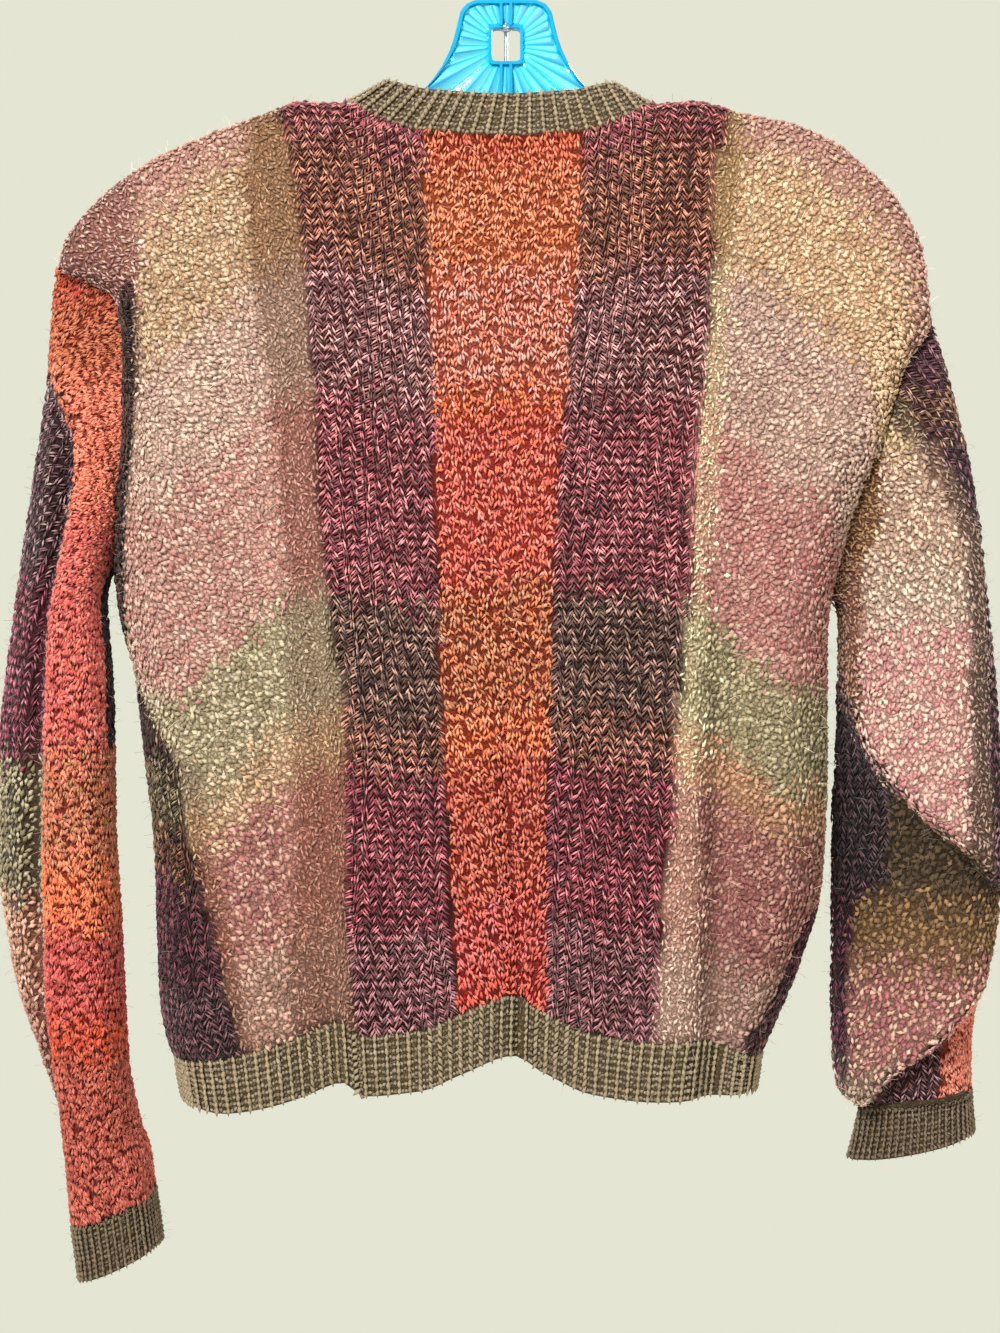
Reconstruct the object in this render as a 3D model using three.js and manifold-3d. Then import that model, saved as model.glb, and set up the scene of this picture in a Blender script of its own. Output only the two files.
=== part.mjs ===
// A hand-knitted wool sweater that hangs on a plastic hanger, its back towards -Y.
// Millimetres, +Z up. The origin is the inside top of the hook, where a rail or peg carries it.
// Every knitted piece is a closed wall: an outer grid of points, the same grid moved in by the
// thickness of the knit, and a rim. Pieces that are sewn together share their seam points, and
// each draws back from the seam by half of the seam gap.

import * as THREE from 'three';
import { mergeVertices } from 'three/addons/utils/BufferGeometryUtils.js';
import Module from 'manifold-3d';

const wasm = await Module();
wasm.setup();

// ---------------------------------------------------------------- driving dimensions

const KNIT = 3; // thickness of the knit
const SEAM = 0.3; // gap between two pieces at a seam

const LEFT_TIP = -249; // where each shoulder seam ends, across
const RIGHT_TIP = 236;
const NECK_LEFT = -89; // where the neckband crosses each shoulder
const NECK_RIGHT = 82;

const SHOULDER_RADIUS = 16; // how the cloth arches over the hanger
const SIDE_RADIUS = 38; // how the panels round into each other at the sides
const NECK_HALF_DEPTH = 21; // half of the neck opening, front to back
const FRONT_NECK_DROP = 52; // how far the front neckline lies below the back one
const ARMHOLE_HALF_DEPTH = 13; // half of the armhole, front to back
const UNDERARM_ROW = 0.368; // share of a panel's height at which the armhole ends

const BAND_HEIGHT = 25; // neckband
const HEM_HEIGHT = 34; // hem rib

const PLATE_HALF_THICKNESS = 4; // hanger frame
const PLATE_BEVEL = 2;
const WIRE_RADIUS = 2; // hook
const HOOK_RADIUS = 21; // middle of the wire in the bend
const BORE_RADIUS = 2.4; // hole that the hook turns in
const HEAD_RADIUS = 3.4; // head that keeps the hook in the frame
const HEAD_HEIGHT = 3;

// Outlines as short lists of hand-set stations, [place, value].

// Top edge of the back panel, [x, z]: shoulder, neckline, shoulder.
const BACK_TOP = [
  [-249, -209], [-243, -194], [-232, -180], [-215, -164], [-192, -149], [-165, -137],
  [-138, -127], [-112, -119], [-89, -120], [-86, -121], [-72, -130], [-48, -138], [0, -141],
  [44, -138], [66, -130], [79, -122], [82, -121], [105, -119], [130, -125], [155, -130],
  [178, -139], [200, -156], [217, -175], [228, -197], [236, -241],
];
// How much lower the front panel's top edge is, [x, drop], only at the neck.
const FRONT_DROP = [
  [-89, 0], [-86, 0.04], [-72, 0.38], [-48, 0.83], [0, 1], [44, 0.83], [66, 0.38], [79, 0.04], [82, 0],
];
// Left and right outlines of the body, [z, x]: armhole, then side seam.
const LEFT_SIDE = [
  [-700, -176], [-655, -178], [-637, -186], [-615, -190], [-533, -193], [-494, -197],
  [-439, -204], [-395, -214], [-373, -216], [-300, -210], [-255, -210], [-228, -216],
  [-209, -249], [-170, -262], [-100, -275],
];
const RIGHT_SIDE = [
  [-700, 116], [-645, 140], [-593, 162], [-549, 174], [-480, 177], [-420, 177],
  [-390, 180], [-351, 189], [-307, 206], [-268, 219], [-241, 236], [-190, 248],
  [-100, 262],
];
// Lower edge of the panels, where the hem rib starts, [x, z].
const HEM_TOP = [
  [-190, -645], [-146, -640], [-113, -631], [-86, -622], [-79, -628], [-47, -626],
  [-25, -617], [2, -608], [22, -617], [46, -628], [76, -632], [101, -631], [140, -643],
];
const HEM_RISE = [[-190, 22], [-150, 30], [-100, 33], [0, 33], [100, 32], [140, 20]];

// Fullness of the body, front to back, [z, half depth].
const FULLNESS = [[-660, 46], [-560, 52], [-450, 48], [-330, 36], [-230, 24], [-150, 17], [-100, 16]];
// Upright folds: where each one is at the top and at the hem, how wide, how proud, and
// from where down it grows. Positive stands proud of the cloth and negative is a trough.
const BACK_FOLDS = [
  { top: -200, hem: -168, width: 22, proud: 7, from: -150, full: -260 },
  { top: -150, hem: -100, width: 16, proud: -9, from: -220, full: -520 },
  { top: -112, hem: -72, width: 20, proud: 6, from: -300, full: -560 },
  { top: 8, hem: 6, width: 14, proud: -7, from: -430, full: -600 },
  { top: 118, hem: 92, width: 18, proud: 8, from: -230, full: -480 },
  { top: 140, hem: 112, width: 12, proud: -10, from: -300, full: -560 },
  { top: 185, hem: 132, width: 14, proud: 6, from: -250, full: -420 },
];
const FRONT_FOLDS = [
  { top: -185, hem: -150, width: 20, proud: 7, from: -170, full: -300 },
  { top: -120, hem: -96, width: 18, proud: -8, from: -240, full: -520 },
  { top: -60, hem: -48, width: 24, proud: 6, from: -260, full: -500 },
  { top: 30, hem: 20, width: 22, proud: -6, from: -330, full: -560 },
  { top: 96, hem: 78, width: 22, proud: 8, from: -230, full: -480 },
  { top: 160, hem: 118, width: 16, proud: -8, from: -260, full: -500 },
];

// ---------------------------------------------------------------- small tools

const clamp = (value, low = 0, high = 1) => Math.min(high, Math.max(low, value));
const mix = (a, b, share) => a + (b - a) * share;
const ease = (share) => {
  const s = clamp(share);
  return s * s * (3 - 2 * s);
};

// A smooth line through stations [place, value] in rising order of place, without overshoot.
function follow(stations) {
  const slopes = stations.map((station, i) => {
    if (i === 0 || i === stations.length - 1) return 0;
    const before = (station[1] - stations[i - 1][1]) / (station[0] - stations[i - 1][0]);
    const after = (stations[i + 1][1] - station[1]) / (stations[i + 1][0] - station[0]);
    return before * after > 0 ? (2 * before * after) / (before + after) : 0;
  });
  return (place) => {
    const last = stations.length - 1;
    if (place <= stations[0][0]) return stations[0][1];
    if (place >= stations[last][0]) return stations[last][1];
    const i = stations.findIndex((station) => station[0] >= place) - 1;
    const width = stations[i + 1][0] - stations[i][0];
    const t = (place - stations[i][0]) / width;
    const start = stations[i][1] * (1 + 2 * t) * (1 - t) ** 2 + slopes[i] * width * t * (1 - t) ** 2;
    const end = stations[i + 1][1] * t * t * (3 - 2 * t) - slopes[i + 1] * width * t * t * (1 - t);
    return start + end;
  };
}

// A quarter circle: 0 at an outline, 1 at one radius or more inside it.
const roll = (distance, radius) => Math.sqrt(1 - (1 - clamp(distance / radius)) ** 2);

// ---------------------------------------------------------------- the body's form

const backTop = follow(BACK_TOP);
const frontDrop = follow(FRONT_DROP);
const leftSide = follow(LEFT_SIDE);
const rightSide = follow(RIGHT_SIDE);
const hemTop = follow(HEM_TOP);
const hemRise = follow(HEM_RISE);
const fullness = follow(FULLNESS);

const BACK = -1; // the side a panel lies on, as the sign of its y
const FRONT = 1;

function topEdge(side, x) {
  return backTop(x) - (side === FRONT ? FRONT_NECK_DROP * frontDrop(x) : 0);
}

function neckDepth(x) {
  const middle = (NECK_LEFT + NECK_RIGHT) / 2;
  const reach = clamp(Math.abs(x - middle) / ((NECK_RIGHT - NECK_LEFT) / 2));
  return NECK_HALF_DEPTH * Math.cbrt(1 - reach ** 3);
}

function foldDepth(folds, x, z, top) {
  return folds.reduce((sum, fold) => {
    const down = clamp((z + 200) / -450);
    const away = (x - mix(fold.top, fold.hem, down)) / fold.width;
    const grown = ease((fold.from - z) / (fold.from - fold.full));
    return sum + fold.proud * grown * Math.exp(-away * away) * clamp((top - z) / 40);
  }, 0);
}

// How far the cloth stands off the middle plane at (x, z).
function bodyDepth(side, x, z, edge) {
  const top = topEdge(side, x);
  const neck = x > NECK_LEFT && x < NECK_RIGHT ? neckDepth(x) : 0;
  const inset = Math.min(x - leftSide(z), rightSide(z) - x);
  const folds = side === BACK ? BACK_FOLDS : FRONT_FOLDS;
  const full = fullness(z) + foldDepth(folds, x, z, top);
  const over = neck + (full - neck) * roll(top - z, SHOULDER_RADIUS);
  return edge + Math.max(0, over - edge) * roll(inset, SIDE_RADIUS);
}

// ---------------------------------------------------------------- grids of the knitted pieces

// Columns across a panel, as x along the top edge, and rows as shares of its height.
const COLUMNS = BACK_TOP.map((station) => station[0]);
const ARMHOLE_ROWS = [0, 0.012, 0.036, 0.08, 0.128, 0.176, 0.224, 0.272, 0.32, UNDERARM_ROW];
const LOWER_ROWS = [0.42, 0.48, 0.55, 0.62, 0.69, 0.76, 0.83, 0.9, 0.955, 1];
const ROWS = [...ARMHOLE_ROWS, ...LOWER_ROWS];
const NECK_COLUMNS = COLUMNS.filter((x) => x >= NECK_LEFT && x <= NECK_RIGHT);

// The armhole opens between the shoulder tip and the underarm.
function armholeDepth(row) {
  const share = clamp(row / UNDERARM_ROW);
  return ARMHOLE_HALF_DEPTH * Math.sqrt(Math.sin(Math.PI * share));
}

// Where a panel's column and row meet, seen from the front: [x, z].
function panelPlace(side, column, row) {
  const leftZ = mix(backTop(LEFT_TIP), hemTop(-178), row);
  const rightZ = mix(backTop(RIGHT_TIP), hemTop(140), row);
  const leftX = leftSide(leftZ);
  const rightX = rightSide(rightZ);
  const across = (column - LEFT_TIP) / (RIGHT_TIP - LEFT_TIP);
  const easyLeft = mix(LEFT_TIP, leftX, ease(row / UNDERARM_ROW));
  const easyRight = mix(RIGHT_TIP, rightX, ease(row / UNDERARM_ROW));
  const leftPull = clamp(1 - across * 3.2) ** 2;
  const rightPull = clamp(1 - (1 - across) * 3.2) ** 2;
  const x = mix(easyLeft, easyRight, across)
    + (leftX - easyLeft) * leftPull + (rightX - easyRight) * rightPull;
  const bottomX = mix(leftSide(hemTop(-178)), rightSide(hemTop(140)), across);
  const sag = 30 * 4 * row * (1 - row) * ease((Math.abs(across - 0.5) - 0.28) / 0.14)
    * clamp((0.5 - Math.abs(across - 0.5)) / 0.07);
  const z = mix(topEdge(side, column), hemTop(bottomX), row) - sag;
  return [x, z];
}

function panelPoint(side, column, row) {
  const [x, z] = panelPlace(side, column, row);
  const onSide = column === LEFT_TIP || column === RIGHT_TIP;
  const edge = row < UNDERARM_ROW ? armholeDepth(row) : 0;
  if (onSide) return new THREE.Vector3(x, side * edge, z);
  if (row === 0) {
    const neck = column > NECK_LEFT && column < NECK_RIGHT ? neckDepth(column) : 0;
    return new THREE.Vector3(x, side * neck, z);
  }
  return new THREE.Vector3(x, side * bodyDepth(side, x, z, edge), z);
}

function panelGrid(side) {
  return ROWS.map((row) => COLUMNS.map((column) => panelPoint(side, column, row)));
}

// The hem rib continues both panels all round: back from left to right, then front.
function hemGrid(back, front) {
  const bottomOf = (grid) => grid[grid.length - 1];
  const around = [...bottomOf(back), ...bottomOf(front).slice(1, -1).reverse()];
  return [0, 0.5, 1].map((share) => around.map((point) => {
    const drop = hemRise(point.x) * share;
    const tuck = 1 - 0.05 * share;
    return new THREE.Vector3(point.x * (1 - 0.02 * share), point.y * tuck, point.z - drop);
  }));
}

// The neckband stands on the neckline and leans in towards the neck.
function bandGrid(back, front) {
  const middle = (NECK_LEFT + NECK_RIGHT) / 2;
  const neckOf = (grid) => grid[0].filter((point, i) => NECK_COLUMNS.includes(COLUMNS[i]));
  const around = [...neckOf(back), ...neckOf(front).slice(1, -1).reverse()];
  return [1, 0.5, 0].map((share) => around.map((point) => {
    const out = clamp((point.x - middle) / ((NECK_RIGHT - NECK_LEFT) / 2), -1, 1);
    const side = Math.abs(out) ** 2;
    const lean = new THREE.Vector3(-Math.sign(out) * side * 0.88, 0, mix(0.98, 0.45, side));
    lean.y = -Math.sign(point.y) * 0.22 * (1 - side);
    return point.clone().addScaledVector(lean.normalize(), BAND_HEIGHT * share);
  }));
}

// ---------------------------------------------------------------- sleeves

// Stations down each sleeve: the outer and inner ends of the section seen from the back, the
// middle and half of its depth, its slant (which end is nearer the viewer) and its bow.
const LEFT_SLEEVE = [
  { outer: [-252, -238], inner: [-219.5, -378], y: 2, half: 20, slant: 0.1, bow: 16 },
  { outer: [-256, -275], inner: [-222, -384], y: 4, half: 26, slant: 0.2, bow: 12 },
  { outer: [-262, -312], inner: [-223, -392], y: 6, half: 33, slant: 0.35, bow: 7 },
  { outer: [-269, -350], inner: [-222, -403], y: 8, half: 40, slant: 0.45, bow: 3 },
  { outer: [-276, -392], inner: [-220, -420], y: 9, half: 46, slant: 0.5, bow: 0 },
  { outer: [-283, -440], inner: [-217.5, -447], y: 10, half: 50, slant: 0.55, bow: 0 },
  { outer: [-288, -488], inner: [-216, -488], y: 10, half: 51, slant: 0.6, bow: 0 },
  { outer: [-289, -530], inner: [-215, -530], y: 10, half: 50, slant: 0.6, bow: 0 },
  { outer: [-284, -572], inner: [-213, -572], y: 10, half: 47, slant: 0.6, bow: 0 },
  { outer: [-276, -610], inner: [-211.5, -612], y: 9, half: 44, slant: 0.55, bow: 0 },
  { outer: [-262, -645], inner: [-210, -650], y: 8, half: 40, slant: 0.45, bow: 0 },
  { outer: [-249, -678], inner: [-206, -678], y: 6, half: 35, slant: 0.35, bow: 0 },
  { outer: [-243, -708], inner: [-199, -702], y: 5, half: 31, slant: 0.25, bow: 0 },
  { outer: [-240, -738], inner: [-196, -722], y: 4, half: 28, slant: 0.2, bow: 0 },
];
const LEFT_CUFF = [
  { outer: [-238, -754], inner: [-194, -736], y: 4, half: 28, slant: 0.2, bow: 0 },
  { outer: [-236, -769], inner: [-192, -750], y: 4, half: 29, slant: 0.2, bow: 0 },
];
const RIGHT_SLEEVE = [
  { outer: [243, -264], inner: [184, -399], y: 0, half: 24, slant: 0, bow: -3 },
  { outer: [250, -294], inner: [186, -407], y: 0, half: 31, slant: 0, bow: 0 },
  { outer: [257, -328], inner: [186, -416], y: 0, half: 37, slant: 0, bow: 0 },
  { outer: [262, -362], inner: [186, -427], y: 0, half: 42, slant: 0, bow: 0 },
  { outer: [265, -398], inner: [186, -441], y: 1, half: 46, slant: 0, bow: 0 },
  { outer: [269, -436], inner: [186, -459], y: 2, half: 48, slant: 0, bow: 0 },
  { outer: [273, -474], inner: [186, -482], y: 5, half: 48, slant: 0, bow: 0 },
  { outer: [277, -508], inner: [185, -508], y: 9, half: 46, slant: 0, bow: 0 },
  { outer: [278, -540], inner: [185, -536], y: 13, half: 44, slant: 0, bow: 0 },
  { outer: [276, -570], inner: [185, -565], y: 15, half: 42, slant: 0, bow: 0 },
  { outer: [270, -598], inner: [185, -594], y: 16, half: 40, slant: 0, bow: 0 },
  { outer: [263, -622], inner: [185, -622], y: 16, half: 37, slant: 0, bow: 0 },
  { outer: [260, -642], inner: [185, -648], y: 15, half: 34, slant: 0, bow: 0 },
  { outer: [260, -656], inner: [189, -670], y: 14, half: 31, slant: 0, bow: 0 },
  { outer: [260, -668], inner: [201, -678], y: 14, half: 28, slant: 0, bow: 0 },
];
const RIGHT_CUFF = [
  { outer: [261, -680], inner: [198, -694], y: 14, half: 28, slant: 0, bow: 0 },
  { outer: [262, -692], inner: [194, -709], y: 14, half: 29, slant: 0, bow: 0 },
];

// A ring's points run from its outer end down the viewer's side to its inner end, and back
// up the far side, as many on each side as the armhole has rows.
function sectionPoint(station, turn) {
  const share = (1 - Math.cos(turn)) / 2;
  const x = mix(station.outer[0], station.inner[0], share) + station.bow * 4 * share * (1 - share);
  const z = mix(station.outer[1], station.inner[1], share);
  const y = station.y - station.half * Math.sin(turn + Math.sin(turn) * 0.25 - station.slant);
  return new THREE.Vector3(x, y, z);
}

function ring(station) {
  const count = 2 * (ARMHOLE_ROWS.length - 1);
  return Array.from({ length: count }, (_, i) => sectionPoint(station, (2 * Math.PI * i) / count));
}

// The sleeve starts on the armhole's own points, so that it meets both panels all round.
function armholeRing(back, front, tip) {
  const column = COLUMNS.indexOf(tip);
  const last = ARMHOLE_ROWS.length - 1;
  const down = back.slice(0, last + 1).map((row) => row[column]);
  const up = front.slice(1, last).map((row) => row[column]).reverse();
  return [...down, ...up].map((point) => point.clone());
}

// ---------------------------------------------------------------- walls

// Sums the outward normals of every face that meets at a place, over all the pieces, so that
// two pieces sewn together have one wall direction along their seam.
const place = (point) => [point.x, point.y, point.z].map((n) => n.toFixed(3)).join(' ');
const normals = new Map();

function faces(piece) {
  const { grid, closed, flip } = piece;
  const wide = grid[0].length;
  const list = [];
  for (let i = 0; i < grid.length - 1; i += 1) {
    for (let j = 0; j < (closed ? wide : wide - 1); j += 1) {
      const quad = [[i, j], [i + 1, j], [i + 1, (j + 1) % wide], [i, (j + 1) % wide]];
      list.push(flip ? quad.reverse() : quad);
    }
  }
  return list;
}

function addNormals(piece) {
  faces(piece).forEach((quad) => {
    const [a, b, c, d] = quad.map(([i, j]) => piece.grid[i][j]);
    const normal = c.clone().sub(a).cross(d.clone().sub(b));
    [a, b, c, d].forEach((point) => {
      const key = place(point);
      if (!normals.has(key)) normals.set(key, new THREE.Vector3());
      normals.get(key).add(normal);
    });
  });
}

// Moves a border point back from its seam, square to the seam and to the wall's direction.
function drawBack(grid, closed, i, j, inward) {
  const tall = grid.length;
  const wide = grid[0].length;
  const shift = new THREE.Vector3();
  const at = (row, column) => {
    const wrapped = closed ? (column + wide) % wide : clamp(column, 0, wide - 1);
    return grid[clamp(row, 0, tall - 1)][wrapped];
  };
  const pull = (to, before, after) => {
    const square = after.clone().sub(before).cross(inward).normalize();
    const away = to.clone().sub(grid[i][j]);
    shift.addScaledVector(square, (Math.sign(square.dot(away)) * SEAM) / 2);
  };
  if (i === 0) pull(at(1, j), at(0, j - 1), at(0, j + 1));
  if (i === tall - 1) pull(at(i - 1, j), at(i, j - 1), at(i, j + 1));
  if (!closed && j === 0) pull(at(i, 1), at(i - 1, 0), at(i + 1, 0));
  if (!closed && j === wide - 1) pull(at(i, j - 1), at(i - 1, j), at(i + 1, j));
  return shift;
}

function wall(piece) {
  const { grid, closed } = piece;
  const tall = grid.length;
  const wide = grid[0].length;
  const outer = [];
  const inner = [];
  grid.forEach((row, i) => row.forEach((point, j) => {
    const inward = normals.get(place(point)).clone().normalize().multiplyScalar(-KNIT);
    const shift = drawBack(grid, closed, i, j, inward);
    const within = point.clone().add(shift).add(inward);
    if (piece.side) within.y = piece.side * Math.max(piece.side * within.y, SEAM / 2);
    outer.push(point.clone().add(shift));
    inner.push(within);
  }));
  const positions = [...outer, ...inner].flatMap((point) => point.toArray());
  const outside = (i, j) => i * wide + j;
  const inside = (i, j) => tall * wide + i * wide + j;
  const index = [];
  const addQuad = (a, b, c, d) => index.push(a, b, c, a, c, d);
  faces(piece).forEach((quad) => {
    const [a, b, c, d] = quad.map(([i, j]) => outside(i, j));
    const [e, f, g, h] = quad.map(([i, j]) => inside(i, j));
    addQuad(a, b, c, d);
    addQuad(h, g, f, e);
  });
  // Both pieces at a seam split their rims along the same diagonal, from the higher point's
  // outside to the lower point's inside, so that the rims lie parallel.
  const rim = (from, to) => {
    const [a, b] = piece.flip ? [to, from] : [from, to];
    const height = ([i, j]) => grid[i][j].z + 0.1 * grid[i][j].x + 0.01 * grid[i][j].y;
    if (height(b) > height(a)) addQuad(outside(...b), outside(...a), inside(...a), inside(...b));
    else addQuad(outside(...a), inside(...a), inside(...b), outside(...b));
  };
  for (let j = 0; j < (closed ? wide : wide - 1); j += 1) {
    const next = (j + 1) % wide;
    rim([0, next], [0, j]);
    rim([tall - 1, j], [tall - 1, next]);
  }
  if (!closed) {
    for (let i = 0; i < tall - 1; i += 1) {
      rim([i, 0], [i + 1, 0]);
      rim([i + 1, wide - 1], [i, wide - 1]);
    }
  }
  const geometry = new THREE.BufferGeometry();
  geometry.setAttribute('position', new THREE.Float32BufferAttribute(positions, 3));
  geometry.setIndex(index);
  return geometry;
}

// ---------------------------------------------------------------- hanger

// The arms' upper edge, [distance from the middle, z], just under the shoulders.
const ARM_TOP = [
  [26, -66], [28, -80], [33, -97], [43, -112], [54, -119], [67, -124], [89, -128],
  [120, -132], [150, -139], [178, -149.5], [195, -159.5],
];
const ARM_END = [203, -169];
const ARM_UNDER = [[198, -176], [178, -165], [150, -154], [120, -146], [80, -141], [30, -142]];
const WINDOW = { half: 8, top: -81, bottom: -99 };

function hangerFrame() {
  const outline = new THREE.Shape();
  outline.moveTo(0, -64.5);
  ARM_TOP.forEach(([x, z]) => outline.lineTo(x, z));
  outline.quadraticCurveTo(ARM_END[0], ARM_END[1] + 6, ARM_END[0], ARM_END[1]);
  outline.quadraticCurveTo(ARM_END[0], ARM_END[1] - 8, ARM_UNDER[0][0], ARM_UNDER[0][1]);
  ARM_UNDER.slice(1).forEach(([x, z]) => outline.lineTo(x, z));
  [...ARM_UNDER].reverse().slice(0, -1).forEach(([x, z]) => outline.lineTo(-x, z));
  outline.lineTo(-ARM_UNDER[0][0], ARM_UNDER[0][1]);
  outline.quadraticCurveTo(-ARM_END[0], ARM_END[1] - 8, -ARM_END[0], ARM_END[1]);
  outline.quadraticCurveTo(-ARM_END[0], ARM_END[1] + 6, -195, -159.5);
  [...ARM_TOP].reverse().slice(1).forEach(([x, z]) => outline.lineTo(-x, z));
  const opening = new THREE.Path();
  opening.moveTo(WINDOW.half, WINDOW.bottom);
  opening.lineTo(WINDOW.half, WINDOW.top);
  opening.lineTo(-WINDOW.half, WINDOW.top);
  opening.lineTo(-WINDOW.half, WINDOW.bottom);
  outline.holes.push(opening);
  const plate = new THREE.ExtrudeGeometry(outline, {
    depth: 2 * (PLATE_HALF_THICKNESS - PLATE_BEVEL),
    bevelEnabled: true,
    bevelThickness: PLATE_BEVEL,
    bevelSize: PLATE_BEVEL,
    bevelOffset: -PLATE_BEVEL,
    bevelSegments: 1,
    curveSegments: 4,
  });
  plate.rotateX(Math.PI / 2);
  plate.translate(0, PLATE_HALF_THICKNESS - PLATE_BEVEL, 0);
  const bore = new THREE.CylinderGeometry(BORE_RADIUS, BORE_RADIUS, 30, 16);
  bore.rotateX(Math.PI / 2);
  bore.translate(0, 0, WINDOW.top + 10);
  return toGeometry(toSolid(plate).subtract(toSolid(bore)));
}

// The hook: straight up out of the frame, then round to the left and open on that side.
function hangerHook() {
  const centre = new THREE.Vector3(0, 0, -HOOK_RADIUS + WIRE_RADIUS);
  const bend = [];
  for (let degrees = -70; degrees <= 200; degrees += 15) {
    const turn = THREE.MathUtils.degToRad(degrees);
    bend.push(new THREE.Vector3(
      centre.x + HOOK_RADIUS * Math.cos(turn), 0, centre.z + HOOK_RADIUS * Math.sin(turn),
    ));
  }
  const route = new THREE.CatmullRomCurve3([
    new THREE.Vector3(0, 0, WINDOW.top - 2),
    new THREE.Vector3(0, 0, -66),
    new THREE.Vector3(0, 0, -52),
    new THREE.Vector3(2, 0, -44),
    ...bend,
  ]);
  const round = new THREE.Shape().absarc(0, 0, WIRE_RADIUS, 0, 2 * Math.PI);
  const wire = new THREE.ExtrudeGeometry(round, {
    steps: 44, curveSegments: 5, extrudePath: route, bevelEnabled: false,
  });
  const head = new THREE.CylinderGeometry(HEAD_RADIUS, HEAD_RADIUS, HEAD_HEIGHT, 16);
  head.rotateX(Math.PI / 2);
  head.translate(0, 0, WINDOW.top - 0.6 - HEAD_HEIGHT / 2);
  return toGeometry(toSolid(wire).add(toSolid(head)));
}

function toSolid(geometry) {
  const bare = geometry.clone();
  bare.deleteAttribute('normal');
  bare.deleteAttribute('uv');
  const merged = mergeVertices(bare, 1e-4);
  return new wasm.Manifold(new wasm.Mesh({
    numProp: 3,
    vertProperties: new Float32Array(merged.attributes.position.array),
    triVerts: new Uint32Array(merged.index.array),
  }));
}

function toGeometry(solid) {
  const mesh = solid.getMesh();
  const geometry = new THREE.BufferGeometry();
  geometry.setAttribute('position', new THREE.BufferAttribute(mesh.vertProperties, 3));
  geometry.setIndex(new THREE.BufferAttribute(mesh.triVerts, 1));
  return geometry;
}

// ---------------------------------------------------------------- assembly

const sweater = new THREE.Group();

function add(name, geometry, color, roughness, metalness = 0) {
  const material = new THREE.MeshStandardMaterial({ color, roughness, metalness });
  const mesh = new THREE.Mesh(geometry, material);
  mesh.name = name;
  sweater.add(mesh);
}

const back = panelGrid(BACK);
const front = panelGrid(FRONT);
const leftRings = [armholeRing(back, front, LEFT_TIP), ...LEFT_SLEEVE.map(ring)];
const rightRings = [armholeRing(back, front, RIGHT_TIP), ...RIGHT_SLEEVE.map(ring)];
const lastOf = (rings) => rings[rings.length - 1];

const PIECES = [
  { name: 'back_panel', grid: back, side: BACK, color: '#b98a7c' },
  { name: 'front_panel', grid: front, side: FRONT, flip: true, color: '#b48474' },
  { name: 'hem_rib', grid: hemGrid(back, front), closed: true, color: '#8c7b66' },
  { name: 'neckband', grid: bandGrid(back, front), closed: true, color: '#8c7b66' },
  { name: 'sleeve_left', grid: leftRings, closed: true, color: '#c0664f' },
  { name: 'sleeve_right', grid: rightRings, closed: true, flip: true, color: '#c9a090' },
  {
    name: 'cuff_left', grid: [lastOf(leftRings), ...LEFT_CUFF.map(ring)], closed: true, color: '#8c7b66',
  },
  {
    name: 'cuff_right', grid: [lastOf(rightRings), ...RIGHT_CUFF.map(ring)], closed: true, flip: true,
    color: '#8c7b66',
  },
];

PIECES.forEach(addNormals);
PIECES.forEach((piece) => add(piece.name, wall(piece), piece.color, 0.95));
add('hanger_frame', hangerFrame(), '#00c8f0', 0.25);
add('hanger_hook', hangerHook(), '#c8ccd0', 0.2, 1);

export default sweater;
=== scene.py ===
# %% [markdown]
# # A hand-knitted wool sweater on a plastic hanger
#
# The real thing is knitted by hand in upright blocks of space-dyed wool and mohair: orange down
# the middle, plum on each side of it, narrow olive strips, and wide cream panels. The yarn changes
# colour every few rows, so each block is banded. Here every stitch is a small soft grain of yarn
# that Geometry Nodes place on the cloth. A pattern drawn in the material alone would be flat at
# the outline, and these stitches are coarse enough to be seen one by one, so real geometry is the
# better way.

import math

import bmesh
import bpy
import numpy as np
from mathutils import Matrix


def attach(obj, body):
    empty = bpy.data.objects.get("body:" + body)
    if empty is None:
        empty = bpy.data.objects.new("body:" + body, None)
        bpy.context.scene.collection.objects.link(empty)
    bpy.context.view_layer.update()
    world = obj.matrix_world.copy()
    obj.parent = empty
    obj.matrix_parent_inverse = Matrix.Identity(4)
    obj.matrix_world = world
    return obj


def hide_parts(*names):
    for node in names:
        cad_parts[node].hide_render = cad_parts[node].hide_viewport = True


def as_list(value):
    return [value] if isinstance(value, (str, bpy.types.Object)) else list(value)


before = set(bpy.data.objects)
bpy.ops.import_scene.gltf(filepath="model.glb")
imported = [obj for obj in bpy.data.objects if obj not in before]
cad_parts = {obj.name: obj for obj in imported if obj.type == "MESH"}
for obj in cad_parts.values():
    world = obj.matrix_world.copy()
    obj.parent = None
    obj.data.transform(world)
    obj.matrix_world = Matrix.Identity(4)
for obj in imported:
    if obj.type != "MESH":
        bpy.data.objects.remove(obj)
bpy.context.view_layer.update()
MM = 0.001
rng = np.random.default_rng(7)
print("frame nodes:", sorted(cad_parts))

# %% [markdown]
# ## Camera, floor and light
#
# The garment hangs before a pale wall in soft daylight, and it is seen square on from about a
# metre. A large soft lamp to the upper left gives the folds their shade, and a pale world fills
# the rest. The floor is a plain pale disc well below, so that nothing touches the garment.

# %% Places, tones and two helpers
EYE = (-3.3 * MM, -1.165, -431.6 * MM)
LENS = 56.5
WALL_TONE = "#E4E5D3"
FLOOR_TONE = "#E4E6DA"
ROOM_GLOW = 0.6  # how much light the pale room itself gives
LAMP_AIM = (0, 0, -0.4)
FLOOR_SIDES, FLOOR_RADIUS, FLOOR_HEIGHT = 96, 1.1, -1.3


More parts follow.
